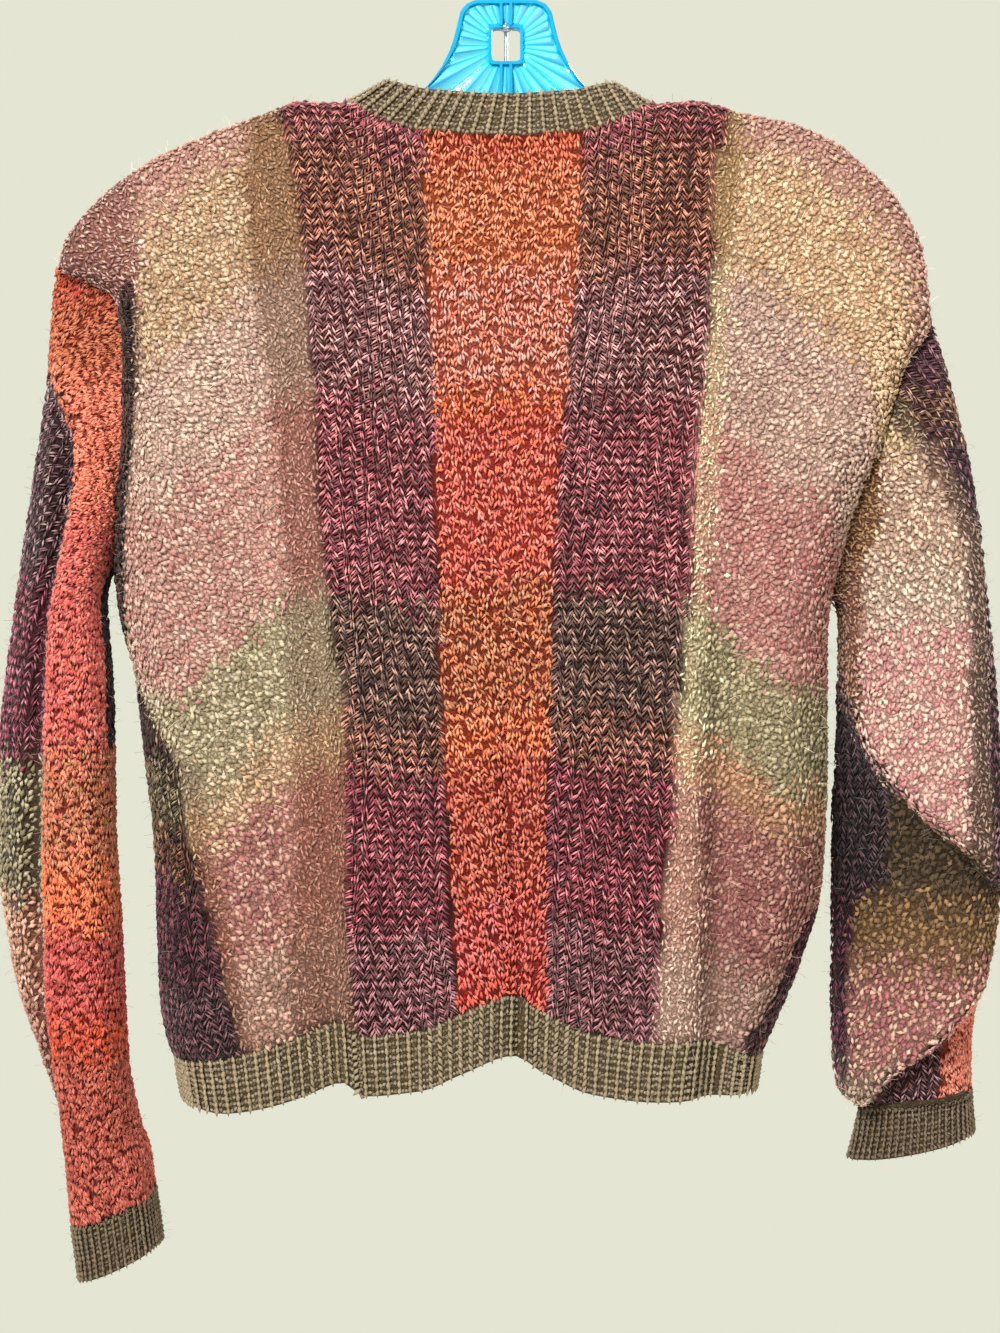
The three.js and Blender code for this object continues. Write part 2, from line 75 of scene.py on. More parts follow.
def linear(colour):
    """The linear colour, with alpha, of an sRGB hex value."""
    parts = [int(colour[i : i + 2], 16) / 255 for i in (1, 3, 5)]
    return [c / 12.92 if c <= 0.04045 else ((c + 0.055) / 1.055) ** 2.4 for c in parts] + [1.0]


def add_node(tree, kind, inputs=None, **settings):
    """Adds a node with its settings, and sets or links each of its inputs."""
    made = tree.nodes.new(kind)
    for name, value in settings.items():
        setattr(made, name, value)
    for key, value in (inputs or {}).items():
        if isinstance(value, bpy.types.NodeSocket):
            tree.links.new(value, made.inputs[key])
        else:
            made.inputs[key].default_value = value
    return made


print("one function turns hex to linear, and one adds a node")

# %% Camera
scene = bpy.context.scene
scene.view_settings.view_transform = "Standard"
camera = bpy.data.objects.new("camera", bpy.data.cameras.new("camera"))
camera.location = EYE
camera.rotation_euler = (math.pi / 2, 0, 0)
camera.data.lens = LENS
scene.collection.objects.link(camera)
scene.camera = camera
print("camera at", EYE, "lens", LENS)

# %% The room's glow and the lamps
world = bpy.data.worlds.new("pale room")
world.use_nodes = True
backdrop = world.node_tree.nodes["Background"]
backdrop.inputs["Color"].default_value = linear(WALL_TONE)
seen = add_node(world.node_tree, "ShaderNodeLightPath")
glow = add_node(world.node_tree, "ShaderNodeMapRange", {
    "Value": seen.outputs["Is Camera Ray"], "To Min": ROOM_GLOW, "To Max": 1.0,
})
world.node_tree.links.new(glow.outputs["Result"], backdrop.inputs["Strength"])
scene.world = world

LAMPS = {
    "window": {"place": (-0.9, -2.1, 1.15), "power": 110, "size": 0.9},
    "bounce": {"place": (1.4, -1.7, -0.9), "power": 12, "size": 1.5},
    "far side": {"place": (0.7, 2.2, 0.9), "power": 75, "size": 1.2},
}
for name, lamp in LAMPS.items():
    data = bpy.data.lights.new(name, "AREA")
    data.energy = lamp["power"]
    data.size = lamp["size"]
    light = bpy.data.objects.new(name, data)
    light.location = lamp["place"]
    light.visible_camera = False
    aim = np.array(LAMP_AIM) - np.array(lamp["place"])
    light.rotation_euler = (math.acos(-aim[2] / np.linalg.norm(aim)), 0, math.atan2(-aim[0], aim[1]))
    scene.collection.objects.link(light)
print("lamps:", list(LAMPS))

# %% Floor
floor_mesh = bpy.data.meshes.new("floor")
floor_turns = [2 * math.pi * i / FLOOR_SIDES for i in range(FLOOR_SIDES)]
floor_edge = [(FLOOR_RADIUS * math.cos(t), FLOOR_RADIUS * math.sin(t), FLOOR_HEIGHT) for t in floor_turns]
floor_mesh.from_pydata(floor_edge, [], [range(FLOOR_SIDES)])
floor = bpy.data.objects.new("floor", floor_mesh)
scene.collection.objects.link(floor)
floor_paint = bpy.data.materials.new("matt painted floor")
floor_paint.use_nodes = True
paint = floor_paint.node_tree.nodes["Principled BSDF"]
paint.inputs["Base Color"].default_value = linear(FLOOR_TONE)
paint.inputs["Roughness"].default_value = 0.9
floor_mesh.materials.append(floor_paint)
print("floor", FLOOR_HEIGHT, "m below the hook")

# %% [markdown]
# ## The cut and the hang, in millimetres
#
# A knitted panel is a soft rectangle, and what gives it its form here is the hanger inside, the
# fullness of the body and a few long upright folds. These are the driving sizes that the solid
# model uses as well. Each outline is a short list of stations with a smooth line through them.

# %% Stations
LEFT_TIP, RIGHT_TIP = -249, 236
NECK_LEFT, NECK_RIGHT = -89, 82
NECK_MIDDLE, NECK_REACH = (NECK_LEFT + NECK_RIGHT) / 2, (NECK_RIGHT - NECK_LEFT) / 2
HEM_LEFT, HEM_RIGHT = -178, 140
SHOULDER_RADIUS = 16
SIDE_RADIUS = 38
NECK_HALF_DEPTH = 21
FRONT_NECK_DROP = 52
ARMHOLE_HALF_DEPTH = 13
UNDERARM_ROW = 0.368  # how far down a panel the sleeve joins it, as a share of its height
BAND_HEIGHT = 25
KNIT = 2.6  # thickness of the ground's wall
BACK, FRONT = -1, 1

BACK_TOP = [
    (-249, -209), (-243, -194), (-232, -180), (-215, -164), (-192, -149), (-165, -137),
    (-138, -127), (-112, -119), (-89, -120), (-86, -121), (-72, -130), (-48, -138), (0, -141),
    (44, -138), (66, -130), (79, -122), (82, -121), (105, -119), (130, -125), (155, -130),
    (178, -139), (200, -156), (217, -175), (228, -197), (236, -241),
]
FRONT_DROP = [
    (-89, 0), (-86, 0.04), (-72, 0.38), (-48, 0.83), (0, 1), (44, 0.83), (66, 0.38), (79, 0.04), (82, 0),
]
LEFT_SIDE = [
    (-700, -176), (-655, -178), (-637, -186), (-615, -190), (-533, -193), (-494, -197),
    (-439, -204), (-395, -214), (-373, -216), (-300, -210), (-255, -210), (-228, -216),
    (-209, -249), (-170, -262), (-100, -275),
]
RIGHT_SIDE = [
    (-700, 116), (-645, 140), (-593, 162), (-549, 174), (-480, 177), (-420, 177),
    (-390, 180), (-351, 189), (-307, 206), (-268, 219), (-241, 236), (-190, 248),
    (-100, 262),
]
HEM_TOP = [
    (-190, -645), (-146, -640), (-113, -631), (-86, -622), (-79, -628), (-47, -626),
    (-25, -617), (2, -608), (22, -617), (46, -628), (76, -632), (101, -631), (140, -643),
]
HEM_RISE = [(-190, 22), (-150, 30), (-100, 33), (0, 33), (100, 32), (140, 20)]
FULLNESS = [(-660, 46), (-560, 52), (-450, 48), (-330, 36), (-230, 24), (-150, 17), (-100, 16)]
print("shoulders:", RIGHT_TIP - LEFT_TIP, "mm from tip to tip")

# %% Folds and creases
# Long upright folds: place at the top and at the hem, width, how proud, from where down it grows.
FOLDS = {
    BACK: [
        (-200, -168, 22, 7, -150, -260), (-150, -100, 16, -9, -220, -520),
        (-112, -72, 20, 6, -300, -560), (8, 6, 14, -7, -430, -600),
        (118, 92, 18, 8, -230, -480), (140, 112, 12, -10, -300, -560),
        (185, 132, 14, 6, -250, -420),
    ],
    FRONT: [
        (-185, -150, 20, 7, -170, -300), (-120, -96, 18, -8, -240, -520),
        (-60, -48, 24, 6, -260, -500), (30, 20, 22, -6, -330, -560),
        (96, 78, 22, 8, -230, -480), (160, 118, 16, -8, -260, -500),
    ],
}

# Smaller creases and dents: a line down the cloth as (z, x) stations, its width and how proud.
CREASES = {
    BACK: [
        {"line": [(-620, -84), (-520, -85), (-395, -92)], "width": 4, "proud": 2.6},
        {"line": [(-625, -92), (-520, -94), (-395, -101)], "width": 7, "proud": -4},
        {"line": [(-612, 8), (-571, 6.6), (-538, 3), (-455, -0.5)], "width": 3.5, "proud": -4.5},
        {"line": [(-612, 17), (-571, 15), (-538, 12), (-455, 9)], "width": 6, "proud": 2.2},
        {"line": [(-395, -1), (-305, 0)], "width": 9, "proud": -3},
        {"line": [(-434, 21), (-409, -5)], "width": 5, "proud": -4},
        {"line": [(-446, 25), (-440, 24)], "width": 6, "proud": 2.5},
        {"line": [(-625, 99), (-450, 102), (-300, 105)], "width": 6, "proud": 3.2},
        {"line": [(-620, 108), (-450, 112), (-330, 116)], "width": 6, "proud": -3},
        {"line": [(-430, 171), (-310, 178)], "width": 7, "proud": 3.5},
        {"line": [(-300, -160), (-180, -175)], "width": 14, "proud": 3},
    ],
    FRONT: [
        {"line": [(-620, -40), (-450, -46)], "width": 7, "proud": -3.5},
        {"line": [(-620, 60), (-480, 64)], "width": 6, "proud": 3},
        {"line": [(-400, -130), (-260, -150)], "width": 9, "proud": -3},
        {"line": [(-420, 20), (-330, 14)], "width": 8, "proud": -2.5},
    ],
}
print("folds behind and in front:", len(FOLDS[BACK]), len(FOLDS[FRONT]))
print("creases behind and in front:", len(CREASES[BACK]), len(CREASES[FRONT]))


# %% Smooth lines and steps
def follow(stations):
    """A smooth line through (place, value) stations, without overshoot."""
    places, values = np.array(stations, float).T
    steps = np.diff(places)
    rises = np.diff(values) / steps
    slopes = np.zeros(len(places))
    for i in range(1, len(places) - 1):
        if rises[i - 1] * rises[i] > 0:
            slopes[i] = 2 * rises[i - 1] * rises[i] / (rises[i - 1] + rises[i])

    def line(place):
        held = np.clip(place, places[0], places[-1])
        i = np.clip(np.searchsorted(places, held) - 1, 0, len(steps) - 1)
        t = (held - places[i]) / steps[i]
        start = values[i] * (1 + 2 * t) * (1 - t) ** 2 + slopes[i] * steps[i] * t * (1 - t) ** 2
        end = values[i + 1] * t * t * (3 - 2 * t) - slopes[i + 1] * steps[i] * t * t * (1 - t)
        return start + end

    return line


def mix(a, b, share):
    """A value the given share of the way from a to b."""
    return a + (b - a) * share


def ease(share):
    """A soft step from 0 to 1."""
    s = np.clip(share, 0, 1)
    return s * s * (3 - 2 * s)


def roll(distance, radius):
    """A quarter circle: 0 at an outline, 1 at one radius or more inside it."""
    return np.sqrt(1 - (1 - np.clip(distance / radius, 0, 1)) ** 2)


back_top = follow(BACK_TOP)
front_drop = follow(FRONT_DROP)
left_side = follow(LEFT_SIDE)
right_side = follow(RIGHT_SIDE)
hem_top = follow(HEM_TOP)
hem_rise = follow(HEM_RISE)
fullness = follow(FULLNESS)
print("hem at the middle:", round(float(hem_top(0.0))), "mm below the hook")


# %% The panels' surface
def top_edge(side, x):
    """The height of a panel's top edge."""
    return back_top(x) - (FRONT_NECK_DROP * front_drop(x) if side == FRONT else 0)


def neck_depth(x):
    """How far the neck opening stands off the middle plane."""
    reach = np.clip(np.abs(x - NECK_MIDDLE) / NECK_REACH, 0, 1)
    return NECK_HALF_DEPTH * np.cbrt(1 - reach**3)


def fold_depth(side, x, z, top):
    """How far the long folds and the small creases stand proud at (x, z)."""
    total = 0 * x
    down = np.clip((z + 200) / -450, 0, 1)
    for at_top, at_hem, width, proud, start, full in FOLDS[side]:
        away = (x - mix(at_top, at_hem, down)) / width
        total = total + proud * ease((start - z) / (start - full)) * np.exp(-(away**2))
    for crease in CREASES[side]:
        low, high = crease["line"][0][0], crease["line"][-1][0]
        away = (x - follow(crease["line"])(z)) / crease["width"]
        fade = ease((z - low + 25) / 30) * ease((high + 25 - z) / 30)
        total = total + crease["proud"] * fade * np.exp(-(away**2))
    ripple = 0.9 * np.sin(x / 17 + z / 61) + 0.7 * np.sin(x / 29 - z / 23 + side)
    ripple = ripple + 0.5 * np.sin(z / 13 + x / 47)
    return (total + ripple) * np.clip((top - z) / 40, 0, 1)


def body_depth(side, x, z, edge):
    """How far the cloth stands off the middle plane at (x, z)."""
    top = top_edge(side, x)
    neck = np.where((x > NECK_LEFT) & (x < NECK_RIGHT), neck_depth(x), 0)
    inset = np.minimum(x - left_side(z), right_side(z) - x)
    full = fullness(z) + fold_depth(side, x, z, top)
    over = neck + (full - neck) * roll(top - z, SHOULDER_RADIUS)
    return edge + np.maximum(0, over - edge) * roll(inset, SIDE_RADIUS)


def armhole_depth(row):
    """Half the width of the slot that the sleeve is sewn into."""
    return ARMHOLE_HALF_DEPTH * np.sqrt(np.sin(np.pi * np.clip(row / UNDERARM_ROW, 0, 1)).clip(0))


def panel_place(side, column, row):
    """Where a panel's column and row meet, seen from the front: x and z."""
    left_x = left_side(mix(back_top(LEFT_TIP), hem_top(HEM_LEFT), row))
    right_x = right_side(mix(back_top(RIGHT_TIP), hem_top(HEM_RIGHT), row))
    across = (column - LEFT_TIP) / (RIGHT_TIP - LEFT_TIP)
    easy_left = mix(LEFT_TIP, left_x, ease(row / UNDERARM_ROW))
    easy_right = mix(RIGHT_TIP, right_x, ease(row / UNDERARM_ROW))
    left_pull = np.clip(1 - across * 3.2, 0, 1) ** 2
    right_pull = np.clip(1 - (1 - across) * 3.2, 0, 1) ** 2
    x = mix(easy_left, easy_right, across)
    x = x + (left_x - easy_left) * left_pull + (right_x - easy_right) * right_pull
    bottom_x = mix(left_side(hem_top(HEM_LEFT)), right_side(hem_top(HEM_RIGHT)), across)
    off_middle = np.abs(across - 0.5)
    where = ease((off_middle - 0.28) / 0.14) * np.clip((0.5 - off_middle) / 0.07, 0, 1)
    sag = 30 * 4 * row * (1 - row) * where
    return x, mix(top_edge(side, column), hem_top(bottom_x), row) - sag


def panel_surface(side):
    """The panel as a function of column and row, which gives points in millimetres."""

    def surface(column, row):
        x, z = panel_place(side, column, row)
        edge = np.where(row < UNDERARM_ROW, armhole_depth(row), 0)
        return np.stack([x, side * body_depth(side, x, z, edge), z], -1)

    return surface


PANELS = {"back_panel": panel_surface(BACK), "front_panel": panel_surface(FRONT)}
chest = PANELS["back_panel"](np.array(0.0), np.array(0.3))
print("back panel, middle of the chest:", chest.round(1), "mm")


# %% The hem rib and the neckband as surfaces
def hem_surface(turn, share):
    """Turn runs from 0 to 1 along the back, left to right, and from 1 to 2 along the front."""
    at_back = turn < 1
    along = np.where(at_back, turn, 2 - turn)
    column = mix(LEFT_TIP, RIGHT_TIP, along)
    lowest = np.ones_like(column)
    back = PANELS["back_panel"](column, lowest)
    front = PANELS["front_panel"](column, lowest)
    top = np.where(at_back[..., None], back, front)
    x, y, z = top[..., 0], top[..., 1], top[..., 2]
    return np.stack([x * (1 - 0.02 * share), y * (1 - 0.05 * share), z - hem_rise(x) * share], -1)


def band_surface(turn, share):
    """The neckband: share is 0 at its free edge and 1 at the neckline."""
    at_back = turn < 1
    along = np.where(at_back, turn, 2 - turn)
    column = mix(NECK_LEFT, NECK_RIGHT, along)
    side = np.where(at_back, BACK, FRONT)
    z = back_top(column) - np.where(at_back, 0, FRONT_NECK_DROP * front_drop(column))
    point = np.stack([column, side * neck_depth(column), z], -1)
    out = np.clip((column - NECK_MIDDLE) / NECK_REACH, -1, 1)
    near_end = np.abs(out) ** 2
    inwards = -np.sign(out) * near_end * 0.88
    lean = np.stack([inwards, -side * 0.22 * (1 - near_end), mix(0.98, 0.45, near_end)], -1)
    lean = lean / np.linalg.norm(lean, axis=-1, keepdims=True)
    return point + lean * (BAND_HEIGHT * (1 - share))[..., None]


print("hem at the left:", hem_surface(np.array(0.0), np.array(1.0)).round(1), "mm")

# %% [markdown]
# ## The sleeves
#
# Each sleeve is a tube that starts on the armhole and is led down by stations: the two ends of
# its section as seen from the back, the middle and half of its depth, and a slant. The left one
# hangs as two soft rolls side by side, and the right one is folded over itself twice.

# %% Sleeve stations
TURN = 2 * math.pi
# Columns: outer x, outer z, inner x, inner z, middle y, half depth, slant, bow.
LEFT_SLEEVE = [
    (-252, -238, -219.5, -378, 2, 20, 0.1, 16), (-256, -275, -222, -384, 4, 26, 0.2, 12),
    (-262, -312, -223, -392, 6, 33, 0.35, 7), (-269, -350, -222, -403, 8, 40, 0.45, 3),
    (-276, -392, -220, -420, 9, 46, 0.5, 0), (-283, -440, -217.5, -447, 10, 50, 0.55, 0),
    (-288, -488, -216, -488, 10, 51, 0.6, 0), (-289, -530, -215, -530, 10, 50, 0.6, 0),
    (-284, -572, -213, -572, 10, 47, 0.6, 0), (-276, -610, -211.5, -612, 9, 44, 0.55, 0),
    (-262, -645, -210, -650, 8, 40, 0.45, 0), (-249, -678, -206, -678, 6, 35, 0.35, 0),
    (-243, -708, -199, -702, 5, 31, 0.25, 0), (-240, -738, -196, -722, 4, 28, 0.2, 0),
]
LEFT_CUFF = [(-238, -754, -194, -736, 4, 28, 0.2, 0), (-236, -769, -192, -750, 4, 29, 0.2, 0)]
RIGHT_SLEEVE = [
    (243, -264, 184, -399, 0, 24, 0, -3), (250, -294, 186, -407, 0, 31, 0, 0),
    (257, -328, 186, -416, 0, 37, 0, 0), (262, -362, 186, -427, 0, 42, 0, 0),
    (265, -398, 186, -441, 1, 46, 0, 0), (269, -436, 186, -459, 2, 48, 0, 0),
    (273, -474, 186, -482, 5, 48, 0, 0), (277, -508, 185, -508, 9, 46, 0, 0),
    (278, -540, 185, -536, 13, 44, 0, 0), (276, -570, 185, -565, 15, 42, 0, 0),
    (270, -598, 185, -594, 16, 40, 0, 0), (263, -622, 185, -622, 16, 37, 0, 0),
    (260, -642, 185, -648, 15, 34, 0, 0), (260, -656, 189, -670, 14, 31, 0, 0),
    (260, -668, 201, -678, 14, 28, 0, 0),
]
RIGHT_CUFF = [(261, -680, 198, -694, 14, 28, 0, 0), (262, -692, 194, -709, 14, 29, 0, 0)]
ARMHOLE_ROWS = [0, 0.012, 0.036, 0.08, 0.128, 0.176, 0.224, 0.272, 0.32, UNDERARM_ROW]
print("sleeve stations:", len(LEFT_SLEEVE), "left,", len(RIGHT_SLEEVE), "right")

# %% The roll and the folds of the sleeves
# Where the left sleeve's front roll begins, as (z, turn in degrees) from the outer edge.
ROLL_EDGE = follow([
    (-740, 20), (-720, 25), (-695, 37), (-665, 59), (-631, 78), (-560, 93), (-483, 98),
    (-395, 96), (-312, 71), (-257, 12), (-230, 0),
])
# The right sleeve's two folds, as (x, z): the cloth above each overhangs the cloth below.
UPPER_FOLD = follow([(180, -380), (186, -444), (200, -483), (222, -510), (250, -532), (274, -553)])
LOWER_FOLD = follow([(183, -716), (189, -697), (206, -662), (232, -641), (256, -619), (264, -612)])
FOLD_SHARPNESS = 1.6  # mm over which the cloth steps back at a fold


def left_creases(turn, x, z):
    """How far the cloth moves towards -Y: the front roll stands proud of the cloth behind it."""
    past = (np.degrees(turn) - ROLL_EDGE(z)) / 9
    seen = np.clip(np.sin(turn) * 1.6, 0, 1) * np.clip((-225 - z) / 60, 0, 1)
    step = 12 / (1 + np.exp(-3.2 * past)) - 8 * np.exp(-((past + 0.9) ** 2))
    return seen * step + 0.9 * np.sin(z / 19 + turn) + 0.7 * np.sin(z / 31 - 2 * turn)


def right_creases(turn, x, z):
    """The upper fold and the lower fold, each with a proud rounded edge and a shaded step."""
    seen = np.clip(np.sin(turn) * 2.2, 0, 1)
    above = z - UPPER_FOLD(x)
    upper = 9 * np.tanh(above / FOLD_SHARPNESS) * np.exp(-np.abs(above) / 60)
    upper = upper + 3 * np.exp(-(((above - 7) / 6) ** 2))
    over = z - LOWER_FOLD(x)
    lower = 8 * np.tanh(over / FOLD_SHARPNESS) * np.exp(-np.abs(over) / 45)
    lower = lower + 3 * np.exp(-(((over - 6) / 5) ** 2))
    return seen * (upper + lower) + 0.9 * np.sin(z / 17 + turn) + 0.8 * np.sin(z / 37 - 2 * turn)


print("upper fold at the middle of the sleeve:", float(UPPER_FOLD(222)), "mm")

# %% A sleeve as a surface
def sleeve_surface(stations, tip, creases, before=None):
    """A sleeve or cuff as a function of turn (0 outer, half a turn inner) and share of its length."""
    rows = np.array(stations, float)
    if before is not None:
        rows = np.vstack([before[-1], rows])
    middle = (rows[:, :2] + rows[:, 2:4]) / 2
    steps = np.linalg.norm(np.diff(middle, axis=0), axis=1)
    start = 0 if before is not None else 30
    places = np.concatenate([[start], start + np.cumsum(steps)])
    places = places / places[-1]
    lines = [follow(list(zip(places, rows[:, k]))) for k in range(rows.shape[1])]

    def surface(turn, share):
        outer_x, outer_z, inner_x, inner_z, y, half, slant, bow = [line(share) for line in lines]
        part = (1 - np.cos(turn)) / 2
        x = mix(outer_x, inner_x, part) + bow * 4 * part * (1 - part)
        z = mix(outer_z, inner_z, part)
        depth = y - half * np.sin(turn + np.sin(turn) * 0.25 - slant)
        made = np.stack([x, depth - creases(turn, x, z) * ease(share * 6), z], -1)
        if before is not None:
            return made
        return mix(armhole_point(tip, turn), made, ease(share / places[0])[..., None] ** 0.8)

    return surface


def armhole_point(tip, turn):
    """A point of the armhole: down the back to the underarm, and up the front."""
    wrapped = np.mod(turn, TURN)
    at_back = wrapped <= math.pi
    down = np.where(at_back, wrapped, TURN - wrapped) / math.pi * (len(ARMHOLE_ROWS) - 1)
    row = np.interp(down, range(len(ARMHOLE_ROWS)), ARMHOLE_ROWS)
    x, z = panel_place(BACK, np.full_like(row, tip), row)
    return np.stack([x, np.where(at_back, BACK, FRONT) * armhole_depth(row), z], -1)


SLEEVES = {
    "sleeve_left": sleeve_surface(LEFT_SLEEVE, LEFT_TIP, left_creases),
    "sleeve_right": sleeve_surface(RIGHT_SLEEVE, RIGHT_TIP, right_creases),
    "cuff_left": sleeve_surface(LEFT_CUFF, LEFT_TIP, left_creases, LEFT_SLEEVE),
    "cuff_right": sleeve_surface(RIGHT_CUFF, RIGHT_TIP, right_creases, RIGHT_SLEEVE),
}
print("sleeves and cuffs:", list(SLEEVES))

# %% [markdown]
# ## The yarn colours
#
# Space-dyed yarn changes colour along its length, so a block shows bands a few centimetres tall,
# and each band mixes two to four shades from stitch to stitch. A chart gives, for each kind of
# block, the bands from the top down and the shades in each. The level is the share of the panel's
# height, and down a sleeve it is the depth below the hook in millimetres.

# %% Colour charts of the panels
# In each band, the colour after the limit is the ground deep between the stitches: painted shade, darker
# than the yarn's own shades.
PLUM = [
    (0.041, "#491714", ["#D0837F", "#AD5B5E", "#974655"]),
    (0.177, "#43160D", ["#E59E82", "#C48169", "#A16352", "#875240"]),
    (0.324, "#431613", ["#F2B1AF", "#C78F8C", "#A77171", "#885658"]),
    (0.535, "#410D0E", ["#F19B9E", "#CF7881", "#AC5A63", "#8F424A"]),
    (0.666, "#290D08", ["#C89B8B", "#A37D6E", "#7F5D50", "#664640"]),
    (0.725, "#2C0B05", ["#D39381", "#A96C57", "#845143"]),
    (0.894, "#380808", ["#E4878F", "#BE606D", "#9D4552", "#80343E"]),
    (1, "#340C0C", ["#C3848B", "#A0666B", "#854E53"]),
]
# The body's sides, plum with an olive-grey band, darkened as painted shade where the sides turn away. The
# top band is near-black: painted shade for the crevice between the sleeves and the body.
SIDE_PLUM_SHADED = [
    (0.62, "#1A0F0D", ["#5B3E35", "#462D27", "#3C2421"]),
    (0.70, "#2A2016", ["#A38E71", "#826F54", "#62523D"]),
    (0.76, "#2C140C", ["#A07254", "#7A4C37", "#59352A"]),
    (0.9, "#260A0E", ["#82464E", "#60303B", "#4A232C"]),
    (1, "#2A1214", ["#895D60", "#68424A", "#4E3235"]),
]
CREAM = [
    (0.041, "#B48476", ["#D9B09E", "#C08E7E", "#AD7569"]),
    (0.177, "#BA9675", ["#E3C7A6", "#CDA989", "#BE9876", "#B38962"]),
    (0.324, "#BD9988", ["#E8CAB5", "#CEAC9C", "#BE998B", "#B38B80"]),
    (0.535, "#BB8C7E", ["#E8C9B5", "#D2A795", "#BF857B", "#B66A67", "#C69F92"]),
    (0.666, "#A19173", ["#DDCCAB", "#BFAB8C", "#9F8E6F", "#897757"]),
    (0.725, "#B39171", ["#E6C3A1", "#C6A17E", "#A9825E"]),
    (0.894, "#A77267", ["#DFB19E", "#BD8979", "#A9635E", "#9E5157"]),
    (1, "#A88271", ["#DDB4A1", "#B98E7E", "#9D7062"]),
]
# The cream again for the right-hand block: a little lighter in the second band and darker from the third
# band down, painted shade on the lower right of the back.
CREAM_RIGHT_SHADED = [
    CREAM[0],
    (0.177, "#C59E7B", ["#F0D1AE", "#D9B38F", "#C9A07C", "#BE9167"]),
    (0.324, "#B99585", ["#E4C5B1", "#CAA897", "#BB9588", "#B0877C"]),
    (0.535, "#B37C72", ["#DEB3A4", "#C89587", "#B67670", "#AE5E5E", "#BD8D84"]),
    (0.666, "#948566", ["#CABB97", "#AF9D7C", "#928262", "#7D6D4D"]),
    (0.725, "#A77D5F", ["#D7A788", "#B98A6A", "#9E704F"]),
    (0.894, "#956058", ["#C69687", "#A87468", "#965450", "#8C454A"]),
    (1, "#9A7668", ["#CAA495", "#AA8275", "#90665A"]),
]
OLIVE = [
    (0.177, "#8D6649", ["#CDA380", "#AD8461", "#9A714E", "#8A6143"]),
    (0.324, "#8F6E5D", ["#CDAA96", "#A78170", "#906B59"]),
    (0.535, "#915E52", ["#D7A190", "#A96E61", "#925148"]),
    (0.666, "#8A765D", ["#DBC4A9", "#AD977D", "#917B5F", "#816B4A"]),
    (0.725, "#9A7456", ["#D8B490", "#B48C68", "#946E50"]),
    (0.894, "#885446", ["#C9907A", "#9D6453", "#81483B"]),
    (1, "#855D4E", ["#C99783", "#9D6F5E", "#815645"]),
]
# The strip left of the cream: a wine and cream marl at the shoulder, then a dark brown band darkened as
# painted shade beside the crevice, then the olive.
EDGE_STRIP = [
    (0.095, "#8A5A4E", ["#F0D2BE", "#CC9E90", "#A86A6A", "#925058"]),
    (0.4, "#5C4032", ["#AC8C74", "#8A6A56", "#725242"]),
    *OLIVE[3:],
]
# The olive again for the right-hand strip, much lighter below its top band: painted light for the lit ridge
# that the strip lies on.
OLIVE_RIGHT_LIT = [
    (0.177, "#9D7A55", ["#E4BF92", "#C29B70", "#AC855B", "#9A744D"]),
    (0.324, "#B7997A", ["#FFECC4", "#D5B494", "#B89676"]),
    (0.535, "#C7997F", ["#FFFFDA", "#E9B295", "#C9866F"]),
    (0.666, "#B19F7B", ["#FFFFDC", "#DECAA5", "#B9A47C", "#A59063"]),
    (0.725, "#BF9977", ["#FFF3D0", "#E6B48D", "#BD8C67"]),
    (0.894, "#AB7C6C", ["#FBCFB9", "#C59181", "#A3695C"]),
    (1, "#A98778", ["#FBD8C6", "#C5A18F", "#A37E6B"]),
]
ORANGE = [
    (0.035, "#8B2D18", ["#FA9873", "#E2704C", "#D0553C"]),
    (0.155, "#944121", ["#FFB08D", "#E3875E", "#CF6E42", "#F08752"]),
    (0.222, "#97422B", ["#FFC2B0", "#EF9A8B", "#DD7457", "#FF8E63", "#DDB5B0"]),
    (0.30, "#8B3B2D", ["#FFC4B7", "#E7937A", "#D16F5A", "#EFB6A3", "#F78A5A"]),
    (0.326, "#903219", ["#FF9C68", "#EB7546", "#D95F42"]),
    (0.523, "#8A2619", ["#FFA897", "#E67164", "#D05652", "#FB7142", "#EB8170"]),
    (0.667, "#762C15", ["#FFB28F", "#D27E5C", "#B48B60", "#FB834E", "#AF6441"]),
    (0.72, "#862A10", ["#FFAB81", "#E0784B", "#F1743B"]),
    (0.88, "#791F12", ["#F48F78", "#C75D50", "#AE4D40", "#E36E48"]),
    (0.97, "#7F1A12", ["#FF8273", "#D45147", "#DC8E90", "#C24740"]),
    (1, "#7F1A0F", ["#FF7E6B", "#D44E40"]),
]
print("panel charts:", len(PLUM), "plum bands,", len(CREAM), "cream,", len(ORANGE), "orange")

# %% Colour charts of the sleeves and ribs
ROLL_ORANGE = [
    (230, "#812A13", ["#D16C4E", "#BA472F", "#AA3921"]),
    (274, "#812A13", ["#DD8562", "#BA6140", "#AA4B2B"]),
    (351, "#9A3B27", ["#FF9F82", "#E9765C", "#D25E41"]),
    (417, "#8E2A20", ["#FC8C7D", "#D16257", "#C04B48"]),
    (478, "#8F2923", ["#FF998E", "#DB6761", "#C54A4C", "#ED7054"]),
    (538, "#85311B", ["#FFA183", "#D46F52", "#BC6342", "#B3845A"]),
    (571, "#8E3119", ["#FF986B", "#E76F46"]),
    (620, "#841F17", ["#F1766C", "#C14C45", "#A73935"]),
    (642, "#8A2214", ["#EE704F", "#CC432A"]),
    (740, "#751E17", ["#DD7764", "#B34E3C", "#9A3B2E"]),
]
BEHIND_ROLL = [
    (384, "#2E1618", ["#B08C8C", "#8C6468", "#6C484E"]),
    (483, "#42171C", ["#BC7482", "#9C525F", "#7C3847"]),
    (560, "#453622", ["#C8BA9A", "#A09173", "#7C6D4F"]),
    (615, "#794839", ["#F4C4AC", "#CF9980", "#B67D60"]),
    (670, "#764235", ["#D2A38F", "#B88070", "#A26158"]),
    (740, "#402B32", ["#9B7D88", "#765D69", "#5C454E"]),
]
